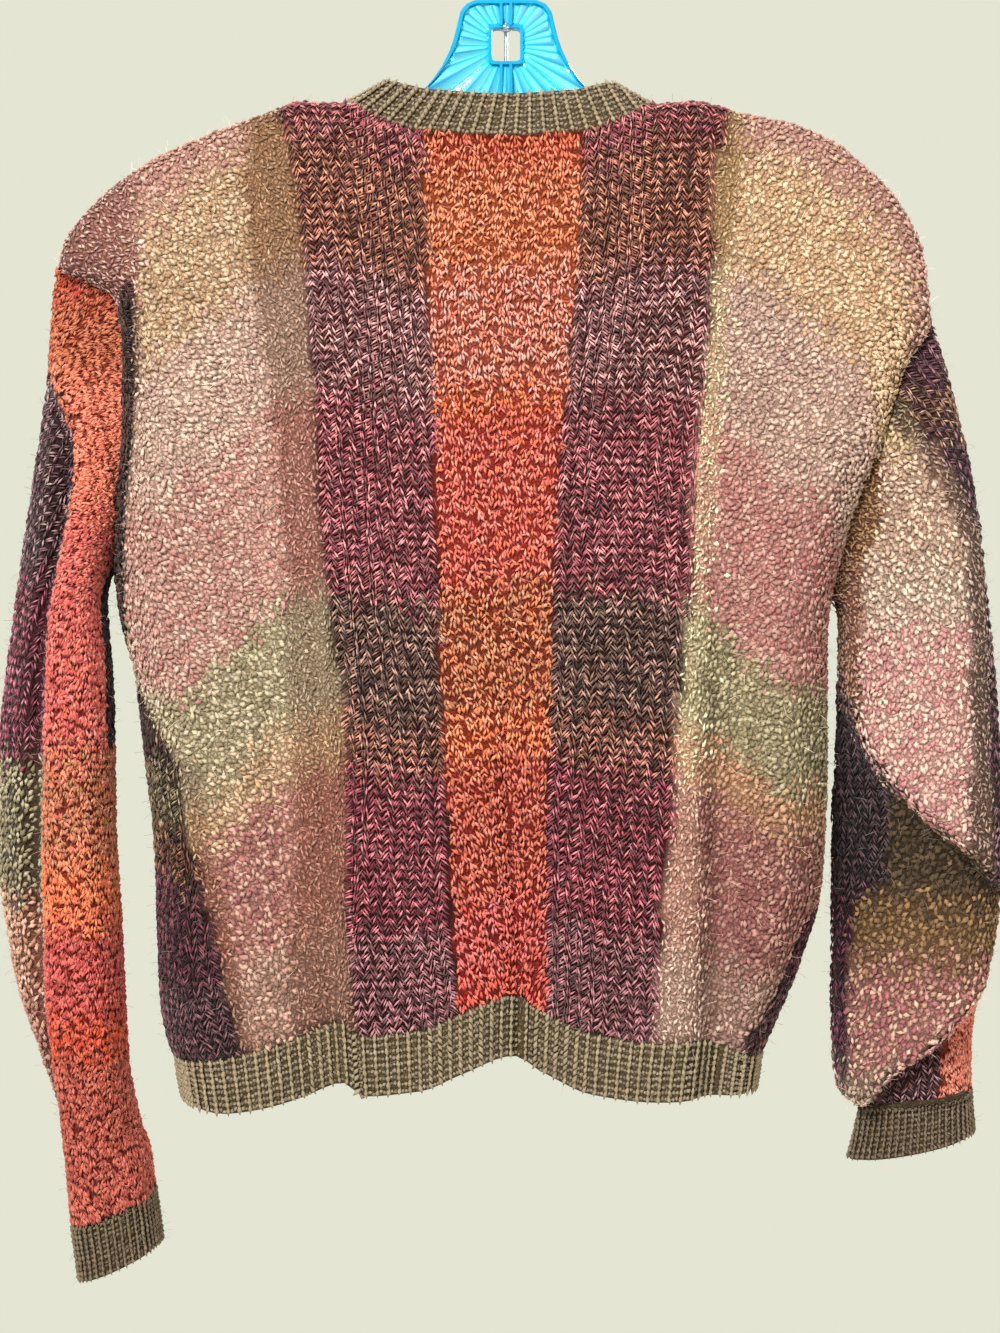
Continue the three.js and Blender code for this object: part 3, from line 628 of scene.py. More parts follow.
SLEEVE_CREAM = [
    (300, "#B99A78", ["#F0D4B0", "#D8B890", "#C09C74"]),
    (360, "#B79B88", ["#F0D8C0", "#D4B8A4", "#BC9C8C"]),
    (440, "#B27F75", ["#F0D0BC", "#D4A898", "#C07C78", "#B85C64"]),
    (520, "#9B8C71", ["#DCCCB0", "#BCAC8C", "#988868"]),
    (570, "#A88869", ["#E8C8A4", "#C8A480", "#AC8460"]),
    (640, "#AB786C", ["#ECC0AC", "#C89484", "#B46C68"]),
    (740, "#9C7B69", ["#DCBCA4", "#B89480", "#9C7464"]),
]
UPPER_RIGHT = [
    (250, "#B99268", ["#F3CD9D", "#D7AD7E", "#BF9260"]),
    (318, "#AE926E", ["#EBCDA4", "#CEAD86", "#AE8E63"]),
    (372, "#AE8D79", ["#F7D9BF", "#D2AD95", "#BA927E", "#AA8672"]),
    (408, "#AE927F", ["#F3DCC5", "#CAAB98", "#B3927F"]),
    (552, "#C4948A", ["#F6DCC8", "#E4B4A6", "#D49894", "#C46C78", "#EECAB6"]),
]
# The forearm under the right sleeve's upper fold. Its top band, olive down to 560 mm, is near-black:
# painted shade under the fold.
FOREARM = [
    (560, "#3B2B1A", ["#644C33", "#503D27", "#42311D"]),
    (592, "#684B2D", ["#A98157", "#88643F", "#735433"]),
    (612, "#895A4F", ["#D3A789", "#AE746C", "#9E5260"]),
    (655, "#95665C", ["#F4CEB2", "#CB9A89", "#B67074", "#AE4E60"]),
    (720, "#896F5F", ["#D3B7A2", "#AE917D", "#917464"]),
]
RIGHT_WEDGE = [
    (279, "#3A1E26", ["#A4747C", "#80545E", "#684048"]),
    (309, "#40241E", ["#C89C80", "#A47860", "#7C5448"]),
    (740, "#3A1E26", ["#98707A", "#7C505C", "#603C48"]),
]
WEDGE_STRIP = [
    (300, "#5C4C34", ["#B8A484", "#948064", "#7C6C50"]),
    (740, "#6C5044", ["#C8A894", "#A88878", "#8C7060"]),
]
SEAM_STRIP = [
    (375, "#6C4830", ["#C89C70", "#A87C54", "#906844"]),
    (740, "#7A5040", ["#D4A488", "#B48468", "#9C7058"]),
]
# Plum on the inner side of the left sleeve and under the right sleeve's upper fold, near-black in its upper
# bands: real plum yarn darkened as painted shade of the gap between the sleeves and the body.
PLUM_IN_PAINTED_SHADE = [
    (560, "#1E1214", ["#60484C", "#483438"]),
    (655, "#301018", ["#804858", "#603040"]),
    (740, "#54403A", ["#B09488", "#907468"]),
]
# The pieces below are in one shade from end to end.
TUCKED_ORANGE = [(740, "#983F28", ["#F8A890", "#E88470", "#D46A54"])]
TUCKED_PLUM = [(740, "#3C1A1C", ["#B88890", "#8C6068", "#6C4448"])]
RIB = [(1, "#594930", ["#AC997C", "#A38F73", "#978569"])]
# The valleys' charts are darker copies of the ridges': painted shade in the sunk purl columns.
RIB_VALLEY_SHADE = [(1, "#57482F", ["#94806A", "#7E6B54", "#A19178"])]
CUFF = [(1, "#473823", ["#8C7862", "#7E6A53", "#74604A"])]
CUFF_VALLEY_SHADE = [(1, "#473823", ["#77634E", "#624F3B", "#84715A"])]
print("sleeve charts:", len(ROLL_ORANGE), "orange bands,", len(SLEEVE_CREAM), "cream bands")


# %% How a stitch gets its shade
RUN = 3  # stitches that one length of a shade often covers
RUN_SHARE = 0.45  # how many stitches follow the length they lie in


def band_of(chart, level):
    """The index of the band that each level falls in."""
    limits = np.array([band[0] for band in chart], float)
    return np.clip(np.searchsorted(limits, level), 0, len(chart) - 1)


def shade_of(chart, level, wales, courses, wander, calm):
    """A linear shade for each stitch. Neighbours along a course often share one length of yarn.

    Wander is how far a band's edge strays, and a low calm draws each shade towards its band's mean.
    """
    band = band_of(chart, level + rng.normal(0, 1, level.shape) * wander)
    most = max(len(shades) for _, _, shades in chart)
    table = np.array([[linear(shades[k % len(shades)]) for k in range(most)] for _, _, shades in chart])
    runs = rng.integers(0, most, (courses.max() + 1, wales.max() // RUN + 1))
    follows = rng.random(level.shape) < RUN_SHARE
    pick = np.where(follows, runs[courses, wales // RUN], rng.integers(0, most, level.shape))
    shade = mix(table.mean(axis=1)[band], table[band, pick], calm)
    row_tone = rng.normal(1, 0.05, courses.max() + 1)[courses]
    shade[..., :3] *= (row_tone * rng.uniform(0.88, 1.1, level.shape))[..., None]
    return shade


def ground_of(chart, level):
    """The ground's colour deep between the stitches, painted shade darker than the yarn, with one band
    fading into the next.
    """
    grounds = np.array([linear(ground) for _, ground, _ in chart])
    soft = 0.018 * chart[-1][0]
    nearby = [grounds[band_of(chart, level + soft * d)] for d in (-1, -0.6, -0.2, 0.2, 0.6, 1)]
    return np.mean(nearby, axis=0)


print("the taupe of the rib, linear:", np.round(ground_of(RIB, np.zeros(1))[0, :3], 3))

# %% [markdown]
# ## The blocks
#
# The knitter changes yarn at upright edges that run from shoulder to hem. On a panel each edge is
# the distance across, in millimetres, for a few rows. A block lies between two edges and is
# worked in one kind of stitch.

# %% Block edges
EDGES = {
    BACK: {
        # From 0.075 to 0.5 of the height this edge sits a few mm in from the side, so that the near-black
        # top band of the side plum shows there as painted shade in the crevice beside the sleeve.
        "side left": [
            (0, -320), (0.045, -250), (0.075, -204), (0.2, -203), (0.3, -206), (0.36, -208), (0.5, -208),
            (0.57, -194), (0.62, -175), (0.73, -165.5), (0.84, -154.5), (0.95, -146), (1, -142),
        ],
        "strip left": [
            (0, -204), (0.075, -199), (0.2, -200), (0.3, -203), (0.36, -206.5), (0.5, -206), (0.57, -190),
            (0.62, -165), (0.73, -156), (0.84, -146), (0.95, -138), (1, -134),
        ],
        "cream left": [(0, -143.5), (0.5, -119), (1, -113)],
        "olive left": [
            (0, -124), (0.1, -115), (0.21, -109), (0.34, -103), (0.49, -98), (0.67, -87), (0.88, -84),
            (1, -80),
        ],
        "plum left": [(0, -45), (0.15, -42), (0.49, -36), (0.58, -35), (0.9, -27.5), (1, -26)],
        "orange": [(0, 42), (0.15, 39), (0.49, 26), (0.58, 25), (0.9, 21.5), (1, 21.5)],
        "plum right": [
            (0, 122), (0.09, 115), (0.19, 113), (0.3, 107), (0.45, 101), (0.55, 97), (0.7, 90),
            (0.85, 84), (1, 78),
        ],
        "olive right": [(0, 131), (0.15, 124), (0.35, 115), (0.6, 105), (1, 102)],
        "cream right": [(0, 320), (0.62, 240), (0.74, 200), (0.8, 172), (0.84, 159), (0.92, 145), (1, 128)],
    },
    FRONT: {
        "side left": [(0, -320), (0.5, -240), (0.56, -216), (0.64, -178), (0.8, -160), (1, -142)],
        "strip left": [(0, -320), (0.5, -232), (0.56, -206), (0.64, -169), (0.8, -151), (1, -134)],
        "cream left": [(0, -140), (0.5, -122), (1, -112)],
        "olive left": [(0, -122), (0.3, -106), (0.6, -94), (1, -82)],
        "plum left": [(0, -44), (0.4, -38), (1, -30)],
        "orange": [(0, 42), (0.4, 32), (1, 22)],
        "plum right": [(0, 120), (0.3, 106), (0.6, 92), (1, 76)],
        "olive right": [(0, 134), (0.3, 119), (0.6, 106), (1, 92)],
        "cream right": [(0, 320), (0.6, 240), (0.7, 200), (0.8, 168), (1, 124)],
    },
}
# What lies left of each edge, and what lies right of the last one: stitch and chart.
BLOCKS = [
    ("chevron", SIDE_PLUM_SHADED), ("fleece", EDGE_STRIP), ("nub", CREAM), ("fleece", OLIVE), ("chevron", PLUM),
    ("fleck", ORANGE), ("chevron", PLUM), ("fleece", OLIVE_RIGHT_LIT), ("nub", CREAM_RIGHT_SHADED),
    ("chevron", SIDE_PLUM_SHADED),
]
print("a panel has", len(BLOCKS), "blocks between", len(EDGES[BACK]), "edges")

# %% [markdown]
# ## The kinds of stitch
#
# Four looks of knitting show on it. The plum blocks are thick stockinette whose two legs make a
# chevron, and each leg shows two or three strands. The orange is a looser, flecked stitch, the
# cream is a nubby boucle, and the narrow strips are a fine fleecy stitch. Each is a small table
# of sizes here, so that one function can work them all.

# %% Kinds of stitch
# Wale width and course height in mm, a strand's width, length and thickness in mm, its lean in
# degrees, how far it strays in mm, and how strongly its shades differ. A nub or a fleece stitch
# is a single grain, and the others have two legs.
STITCHES = {
    "chevron": {
        "wale": 7.0, "course": 4.8, "grain": (1.2, 6.4, 1.5), "lean": 33, "stray": 0.2, "calm": 1.0,
    },
    "fleck": {
        "wale": 3.9, "course": 3.6, "grain": (1.7, 5.2, 1.9), "lean": 17, "stray": 0.9, "calm": 0.62,
    },
    "nub": {
        "wale": 3.9, "course": 3.35, "grain": (2.9, 5.2, 2.0), "lean": 22, "stray": 0.9, "calm": 0.66,
    },
    "fleece": {
        "wale": 3.3, "course": 3.1, "grain": (1.6, 4.4, 1.4), "lean": 0, "stray": 0.8, "calm": 0.5,
    },
}
STRAND_GAP = 1.35  # mm between the strands of one leg
LEG_PLACE = 0.24  # how far a leg lies from the middle of its stitch, in wales
DARK_STRANDS, DARK_TONE, LIGHT_TONE = 0.35, 0.38, 1.17  # chevrons mix dark and light strands
GRAIN_SIDES, GRAIN_RINGS = 4, 2  # a grain has few faces, because there are so many
print("kinds of stitch:", list(STITCHES))


# %% Rows of stitches
def knit_rows(surface, left, right, wale, course, even=False):
    """Places stitches row by row between two edges, evenly along the cloth both ways.

    Where the cloth is stretched between two rows, more stitches fill it, and where it is gathered
    every second row is left out. With even, each row has the same number, so the wales run true.
    """
    levels = np.linspace(0, 1, 320)
    share = np.linspace(0, 1, 56)
    across = mix(left(levels)[:, None], right(levels)[:, None], share)
    sheet = surface(across, levels[:, None] + 0 * share)
    steps_down = np.linalg.norm(np.diff(sheet, axis=0), axis=2).mean(axis=1)
    down = np.concatenate([[0], np.cumsum(steps_down)])
    count = max(1, round(down[-1] / course))
    rows = np.interp((np.arange(count) + 0.5) * down[-1] / count, down, levels)
    row_steps = np.gradient(rows)
    a, b = left(rows)[:, None], right(rows)[:, None]
    line = surface(mix(a, b, share), rows[:, None] + 0 * share)
    steps = np.linalg.norm(np.diff(line, axis=1), axis=2)
    found = []
    typical = int(round(steps.sum(axis=1).mean() / wale))
    for i in range(count):
        along = np.concatenate([[0], np.cumsum(steps[i])])
        stitches = int(round(along[-1] / wale)) if b[i, 0] > a[i, 0] else 0
        stitches = typical if even else stitches
        if stitches < 1:
            continue
        pitch = along[-1] / stitches if even else wale
        number = np.arange(stitches)
        place = mix(a[i, 0], b[i, 0], np.interp((number + 0.5) * pitch, along, share))
        found.append([place, 0 * place + rows[i], number, 0 * number + i, 0 * place + row_steps[i]])
    place, level, wales, courses, step = [np.concatenate(part) for part in zip(*found)]
    low, high = np.maximum(level - step / 2, 0), np.minimum(level + step / 2, 1)
    gap = np.linalg.norm(surface(place, high) - surface(place, low), axis=-1) / course
    kept = (gap > 0.6) | (courses % 2 == 0)
    made = [[part[kept] for part in (place, level, wales, courses)]]
    for least, shift in ((1.5, 0.5), (2.6, 0.25), (2.6, -0.25)):
        extra = gap > least
        between = (level + shift * step)[extra].clip(0, 1)
        made.append([place[extra], between, wales[extra], courses[extra]])
    return [np.concatenate(part) for part in zip(*made)]


trial = knit_rows(PANELS["back_panel"], follow([(0, 0), (1, 0)]), follow([(0, 40), (1, 40)]), 7.0, 4.8)
print("a strip 40 mm wide down the back takes", len(trial[0]), "stitches")


# %% The way each stitch faces
def directions(surface, place, level, flip, reach=0.6, drop=0.004):
    """The point, the way across, the way up and the way out at each stitch."""
    point = surface(place, level)
    across = surface(place + reach, level) - surface(place - reach, level)
    up = surface(place, level - drop) - surface(place, level + drop)
    across = across / np.linalg.norm(across, axis=-1, keepdims=True) * (-1 if flip else 1)
    up = up - across * np.sum(up * across, -1, keepdims=True)
    up = up / np.maximum(np.linalg.norm(up, axis=-1, keepdims=True), 1e-9)
    return point, across, up, np.cross(across, up)


def euler_of(across, up, out):
    """Euler angles whose turned x, y and z axes are the three given directions."""
    pitch = -np.arcsin(np.clip(across[:, 2], -1, 1))
    return np.stack([np.arctan2(up[:, 2], out[:, 2]), pitch, np.arctan2(across[:, 1], across[:, 0])], -1)


print("no turn at all gives the angles", euler_of(*np.eye(3)[:, None, :])[0])


# %% Grains gathered and blocks worked
class Stitches:
    """Gathers the place, turn, size and shade of each grain of yarn for one piece."""

    def __init__(self):
        self.places, self.turns, self.sizes, self.shades = [], [], [], []

    def add(self, point, across, up, out, lean, size, shade):
        """Adds grains that lean from upright by the given angles in degrees."""
        angle = np.radians(lean)[:, None]
        long_way = up * np.cos(angle) + across * np.sin(angle)
        wide_way = across * np.cos(angle) - up * np.sin(angle)
        self.places.append(point * MM)
        self.turns.append(euler_of(wide_way, long_way, out))
        self.sizes.append(size * MM)
        self.shades.append(shade)


def work(stitches, kind, at_stitch, wales, courses, chart, tone, wander, strands, hand_of_nubs=1):
    """Works one block in its kind of stitch. at_stitch holds the point and the three directions.

    Tone is the level in the chart, and strands is how many show on each leg of a stitch.
    """
    point, across, up, out = at_stitch
    count = len(point)
    made = STITCHES[kind]
    stray = made["stray"]
    point = point + across * rng.normal(0, stray, (count, 1)) + up * rng.normal(0, stray, (count, 1))
    if kind in ("chevron", "fleck"):
        for hand in (-1, 1):
            for strand in range(strands):
                beside = (strand - (strands - 1) / 2) * STRAND_GAP
                tilt = -hand * made["lean"] + rng.normal(0, 7 if kind == "chevron" else 22, count)
                leg = point + across * hand * made["wale"] * LEG_PLACE
                leg = leg + out * rng.uniform(0.1, 1.5, (count, 1))
                leg = leg + across * hand * beside * 0.85
                leg = leg + up * (beside * 0.6 + rng.normal(0, 0.5, (count, 1)))
                size = np.array(made["grain"]) * rng.uniform(0.75, 1.2, (count, 3))
                shade = shade_of(chart, tone, wales, courses, wander, made["calm"])
                if kind == "chevron":
                    dark = rng.random(count) < DARK_STRANDS
                    shade[..., :3] *= np.where(dark, DARK_TONE, LIGHT_TONE)[:, None]
                stitches.add(leg, across, up, out, tilt, size, shade)
        return
    shift = np.where(courses % 2 == 0, 0.25, -0.25)[:, None] * made["wale"]
    tilt = hand_of_nubs * made["lean"] + rng.normal(0, 38, count)
    grain = point + across * shift + out * rng.uniform(0, 1.1, (count, 1))
    size = np.array(made["grain"]) * rng.uniform(0.75, 1.2, (count, 3))
    shade = shade_of(chart, tone, wales, courses, wander, made["calm"])
    stitches.add(grain, across, up, out, tilt, size, shade)


print("a chevron stitch is", STITCHES["chevron"]["wale"], "mm wide")

# %% [markdown]
# ## The stitch tree
#
# One Geometry Nodes tree makes all the yarn. Each point carries the turn, size and shade of one
# grain, and the tree puts a small rounded grain there. The grain has only a few sides, because it
# is repeated thousands of times and smooth shading hides its facets.

# %% The stitch tree
def group_tree(name, sockets):
    """A Geometry Nodes tree with a geometry input and output, and named inputs for its sizes."""
    tree = bpy.data.node_groups.new(name, "GeometryNodeTree")
    tree.interface.new_socket("Geometry", in_out="INPUT", socket_type="NodeSocketGeometry")
    for label, kind in sockets.items():
        tree.interface.new_socket(label, in_out="INPUT", socket_type=kind)
    tree.interface.new_socket("Geometry", in_out="OUTPUT", socket_type="NodeSocketGeometry")
    return tree, tree.nodes.new("NodeGroupInput")


def build_stitch_tree():
    """Points that carry turn, size and yarn become grains of yarn."""
    tree, given = group_tree("yarn stitches", {
        "Sides": "NodeSocketInt", "Rings": "NodeSocketInt", "Yarn": "NodeSocketMaterial",
    })
    grain = add_node(tree, "GeometryNodeMeshUVSphere", {
        "Segments": given.outputs["Sides"], "Rings": given.outputs["Rings"], "Radius": 0.5,
    })
    turn = add_node(tree, "GeometryNodeInputNamedAttribute", {"Name": "turn"}, data_type="FLOAT_VECTOR")
    size = add_node(tree, "GeometryNodeInputNamedAttribute", {"Name": "size"}, data_type="FLOAT_VECTOR")
    placed = add_node(tree, "GeometryNodeInstanceOnPoints", {
        "Points": given.outputs["Geometry"], "Instance": grain.outputs["Mesh"],
        "Rotation": add_node(tree, "FunctionNodeEulerToRotation", {"Euler": turn.outputs[0]}).outputs[0],
        "Scale": size.outputs[0],
    })
    real = add_node(tree, "GeometryNodeRealizeInstances", {"Geometry": placed.outputs[0]})
    smooth = add_node(tree, "GeometryNodeSetShadeSmooth", {"Geometry": real.outputs[0]})
    dyed = add_node(tree, "GeometryNodeSetMaterial", {
        "Geometry": smooth.outputs[0], "Material": given.outputs["Yarn"],
    })
    add_node(tree, "NodeGroupOutput", {"Geometry": dyed.outputs[0]})
    return tree


STITCH_TREE = build_stitch_tree()
print("nodes in the stitch tree:", len(STITCH_TREE.nodes))


# %% How a piece is settled
def settle(piece, tree, values):
    """Runs a tree on a piece, with its inputs set by name, and keeps the result as a plain mesh."""
    modifier = piece.modifiers.new("nodes", "NODES")
    modifier.node_group = tree
    for item in tree.interface.items_tree:
        if item.in_out == "INPUT" and item.name in values:
            modifier[item.identifier] = values[item.name]
    graph = bpy.context.evaluated_depsgraph_get()
    mesh = bpy.data.meshes.new_from_object(
        piece.evaluated_get(graph), preserve_all_data_layers=True, depsgraph=graph
    )
    piece.modifiers.clear()
    piece.data = mesh
    for spare in ("turn", "size"):
        if spare in mesh.attributes:
            mesh.attributes.remove(mesh.attributes[spare])
    return piece


def store(mesh, name, kind, values):
    """Stores one value for each point of a mesh."""
    layer = mesh.attributes.new(name, kind, "POINT")
    key = "color" if kind == "FLOAT_COLOR" else "vector"
    layer.data.foreach_set(key, np.asarray(values, np.float32).ravel())


def triangles(piece):
    piece.data.calc_loop_triangles()
    return len(piece.data.loop_triangles)


def make_stitches(name, stitches):
    """Turns the gathered grains into one mesh."""
    places = np.concatenate(stitches.places)
    mesh = bpy.data.meshes.new(name)
    mesh.vertices.add(len(places))
    mesh.vertices.foreach_set("co", places.astype(np.float32).ravel())
    store(mesh, "turn", "FLOAT_VECTOR", np.concatenate(stitches.turns))
    store(mesh, "size", "FLOAT_VECTOR", np.concatenate(stitches.sizes))
    store(mesh, "yarn", "FLOAT_COLOR", np.concatenate(stitches.shades))
    piece = bpy.data.objects.new(name, mesh)
    scene.collection.objects.link(piece)
    settle(piece, STITCH_TREE, {"Sides": GRAIN_SIDES, "Rings": GRAIN_RINGS, "Yarn": WOOL})
    print(name, len(places), "grains,", triangles(piece), "triangles")
    return piece


print("each grain has", 2 * GRAIN_SIDES * (GRAIN_RINGS - 1), "triangles")

# %% [markdown]
# ## The materials
#
# Wool and mohair are brushed, so the light catches a halo of fine fibres: a high roughness and a
# soft sheen give that. The shade comes from the yarn attribute of each grain, and a fine noise
# breaks it up, because handspun yarn is never one flat colour.

# %% Wool, ground and fibre
FIBRE_MM = 0.9  # fine fibres are about 0.05 mm wide, drawn coarser so that they show
FIBRE_RELIEF_MM = 0.6
LOOP_MM = 2.3  # width of the small loops seen deep in the knit
# Colour factors of the ground's small loops: painted shade in the slits between them, painted light in
# their middles.
SLIT_PAINTED_SHADE, LOOP_PAINTED_LIGHT = 0.42, 1.18


def wool_material(name, darkest, lightest, sheen, bump, loop_mm=0):
    """Brushed wool: matt, with a soft fibrous bump. With loop_mm, small loops painted lighter in their
    middles, with painted shade in the dark slits between them.
    """
    material = bpy.data.materials.new(name)
    material.use_nodes = True
    tree = material.node_tree
    surface = tree.nodes["Principled BSDF"]
    shade = add_node(tree, "ShaderNodeAttribute", attribute_name="yarn", attribute_type="GEOMETRY")
    where = add_node(tree, "ShaderNodeTexCoord")
    fibres = add_node(tree, "ShaderNodeTexNoise", {
        "Vector": where.outputs["Object"], "Scale": 1 / (FIBRE_MM * MM), "Detail": 3.0, "Roughness": 0.65,
    })
    factor = add_node(tree, "ShaderNodeMapRange", {
        "Value": fibres.outputs[0], "From Min": 0.3, "From Max": 0.7, "To Min": darkest, "To Max": lightest,
    })
    height = fibres.outputs[0]
    if loop_mm:
        loops = add_node(tree, "ShaderNodeTexVoronoi", {
            "Vector": where.outputs["Object"], "Scale": 1 / (loop_mm * MM),
        }, feature="DISTANCE_TO_EDGE")
        slits = add_node(tree, "ShaderNodeMapRange", {
            "Value": loops.outputs["Distance"], "From Max": 0.3, "To Min": SLIT_PAINTED_SHADE, "To Max": LOOP_PAINTED_LIGHT,
        })
        factor = add_node(tree, "ShaderNodeMath", {
            0: factor.outputs[0], 1: slits.outputs[0],
        }, operation="MULTIPLY")
        height = slits.outputs[0]
    tinted = add_node(tree, "ShaderNodeVectorMath", {
        0: shade.outputs["Color"], 1: factor.outputs[0],
    }, operation="MULTIPLY")
    relief = add_node(tree, "ShaderNodeBump", {
        "Height": height, "Strength": bump, "Distance": FIBRE_RELIEF_MM * MM,
    })
    tree.links.new(tinted.outputs[0], surface.inputs["Base Color"])
    tree.links.new(relief.outputs[0], surface.inputs["Normal"])
    surface.inputs["Roughness"].default_value = 0.9
    surface.inputs["Specular IOR Level"].default_value = 0.15
    surface.inputs["Sheen Weight"].default_value = sheen
    surface.inputs["Sheen Roughness"].default_value = 0.5
    return material


# Brushed wool and mohair yarn, handspun: a matt grain with a faint bloom on its edges.
WOOL = wool_material("brushed wool and mohair yarn", 0.74, 1.13, 0.12, 0.9)
# The same wool deep in the knit: small loops with painted light in their middles, and painted shade in
# near-black slits between them.
GROUND = wool_material("wool ground between stitches", 0.78, 1.18, 0.1, 0.9, LOOP_MM)
# Single mohair fibres: smooth and lustrous, so they catch the light along the outline.
FIBRE = wool_material("loose mohair fibre", 0.95, 1.1, 0.3, 0.0)
print("materials:", WOOL.name, "/", GROUND.name, "/", FIBRE.name)

# %% [markdown]
# ## The cloth under the stitches
#
# The ground is a thin shell on the surface of each piece, with a wall of real thickness. It
# closes the small gaps between the stitches and is coloured a much darker shade of each band,
# painted shade for the depth of the knit. A cloth simulation would lose the folds that this
# garment hangs in, so the folds are placed one by one, and Solidify gives the shell its inner face.

# %% Ground shells
def shell(name, points, shades, closed, flip):
    """A wall of knit from a grid of points in mm, closed round or not."""
    tall, wide = points.shape[:2]
    mesh = bpy.data.meshes.new(name)
    index = np.arange(tall * wide).reshape(tall, wide)
    after = np.roll(index, -1, axis=1)
    columns = slice(None) if closed else slice(0, wide - 1)
    corners = [index[:-1, columns], index[1:, columns], after[1:, columns], after[:-1, columns]]
    quads = np.stack(corners, -1).reshape(-1, 4)
    quads = quads[:, ::-1] if flip else quads
    mesh.from_pydata((points.reshape(-1, 3) * MM).tolist(), [], quads.tolist())
    mesh.polygons.foreach_set("use_smooth", np.ones(len(quads), bool))
    store(mesh, "yarn", "FLOAT_COLOR", shades.reshape(-1, 4))
    mesh.materials.append(GROUND)
    piece = bpy.data.objects.new(name, mesh)
    scene.collection.objects.link(piece)
    wall = piece.modifiers.new("wall", "SOLIDIFY")
    wall.thickness = KNIT * MM
    wall.offset = -1
    return piece


print("walls of knit are", KNIT, "mm thick")


# %% The blocks' borders on a panel
def column_table(side, rows):
    """For each row, how far across each of a fine set of columns lies."""
    columns = np.linspace(LEFT_TIP, RIGHT_TIP, 300)
    return columns, panel_place(side, columns[None, :] + 0 * rows[:, None], rows[:, None] + 0 * columns)[0]


def edge_lines(side):
    """Each edge of the blocks as a function from row to column."""
    rows = np.linspace(0, 1, 160)
    columns, across = column_table(side, rows)
    lines = []
    for stations in EDGES[side].values():
        x = follow(stations)(rows)
        found = np.array([np.interp(x[i], across[i], columns) for i in range(len(rows))])
        lines.append(found)
    lines = np.maximum.accumulate(np.array(lines), axis=0)
    borders = [np.full(len(rows), float(LEFT_TIP)), *lines, np.full(len(rows), float(RIGHT_TIP))]
    return [lambda row, border=border: np.interp(row, rows, border) for border in borders]


BORDERS = {side: edge_lines(side) for side in (BACK, FRONT)}
print("borders on the back at mid height:", [round(float(line(0.5))) for line in BORDERS[BACK]])


# %% Panel shells
def panel_ground(side, column, row):
    """The ground's painted shade at each column and row of a panel."""
    shades = np.zeros(column.shape + (4,))
    for k, (_, chart) in enumerate(BLOCKS):
        inside = (column >= BORDERS[side][k](row)) & (column <= BORDERS[side][k + 1](row))
        shades = np.where(inside[..., None], ground_of(chart, row), shades)
    return shades


def make_panel(name, side):
    """A panel's ground, on a grid that is finer near the top and at the tips of the shoulders."""
    near_top = 1 - np.cos(np.linspace(0, math.pi / 2, 9))[:-1]
    rows = np.concatenate([near_top * 0.06, np.linspace(0.06, 1, 62)])
    near_tip = 20 * (1 - np.cos(np.linspace(0, math.pi / 2, 6)))
    columns = np.concatenate([
        LEFT_TIP + near_tip[:-1],
        np.linspace(LEFT_TIP + 20, RIGHT_TIP - 20, 56),
        (RIGHT_TIP - near_tip)[::-1][1:],
    ])
    row, column = np.meshgrid(rows, columns, indexing="ij")
    points = PANELS[name](column, row)
    return shell(name + "_knit", points, panel_ground(side, column, row), False, side == FRONT)


shells = {"back_panel": make_panel("back_panel", BACK), "front_panel": make_panel("front_panel", FRONT)}
print("panel shells:", {name: triangles(piece) for name, piece in shells.items()})


# %% [markdown]
# ## Stitches of the two panels
#
# Each block is worked row by row between its two borders. Where two soft yarns meet, a few
# stitches of each stray over the border, as brushed wool does, while the plum and the orange meet
# in a clean line. The back, which is seen close, shows three strands a leg and the front two.

# %% Work the panels
STRAY_REACH = 4  # mm over which stitches lend their shade past a soft border
PANEL_WANDER = 0.013  # how far a band's edge wanders, as a share of the height


def work_panel(name, side, strands):
    """Works all blocks of one panel. Each kind of stitch becomes one mesh."""
    surface = PANELS[name]
    kinds = {kind: Stitches() for kind in STITCHES}
    for k, (kind, chart) in enumerate(BLOCKS):
        size = STITCHES[kind]
        left, right = BORDERS[side][k], BORDERS[side][k + 1]
        place, row, wales, courses = knit_rows(surface, left, right, size["wale"], size["course"])
        at_stitch = directions(surface, place, row, side == FRONT)
        hand = -1 if k < len(BLOCKS) / 2 else 1
        beyond_left = rng.random(len(row)) < 0.5 * np.exp(-(place - left(row)) / STRAY_REACH)
        beyond_right = rng.random(len(row)) < 0.5 * np.exp(-(right(row) - place) / STRAY_REACH)
        soft_left = k > 0 and {kind, BLOCKS[k - 1][0]} <= {"nub", "fleece"}
        soft_right = k < len(BLOCKS) - 1 and {kind, BLOCKS[k + 1][0]} <= {"nub", "fleece"}
        lent_left, lent_right = beyond_left & soft_left, beyond_right & soft_right & ~beyond_left
        charts = [(~lent_left & ~lent_right, chart)]
        charts += [(lent_left, BLOCKS[k - 1][1])] if soft_left else []
        charts += [(lent_right, BLOCKS[k + 1][1])] if soft_right else []
        for mine, yarn in charts:
            here = [each[mine] for each in at_stitch]
            if mine.any():
                shown = strands if kind == "chevron" else 1
                work(
                    kinds[kind], kind, here, wales[mine], courses[mine], yarn, row[mine], PANEL_WANDER,
                    shown, hand,
                )
    return [make_stitches(f"{name}_{kind}", gathered) for kind, gathered in kinds.items()]


stitched = {"back_panel": work_panel("back_panel", BACK, 3)}
stitched["front_panel"] = work_panel("front_panel", FRONT, 2)

# %% [markdown]
# ## Sleeves
#
# The sleeves are worked round and round. The left one shows two rolls, an orange one in front of a
# plum one. The right one is folded over itself, so its lower part shows other yarns than its
# upper part. A function tells which block a place lies in, because these blocks have edges that
# follow the rolls and folds and not the tube.

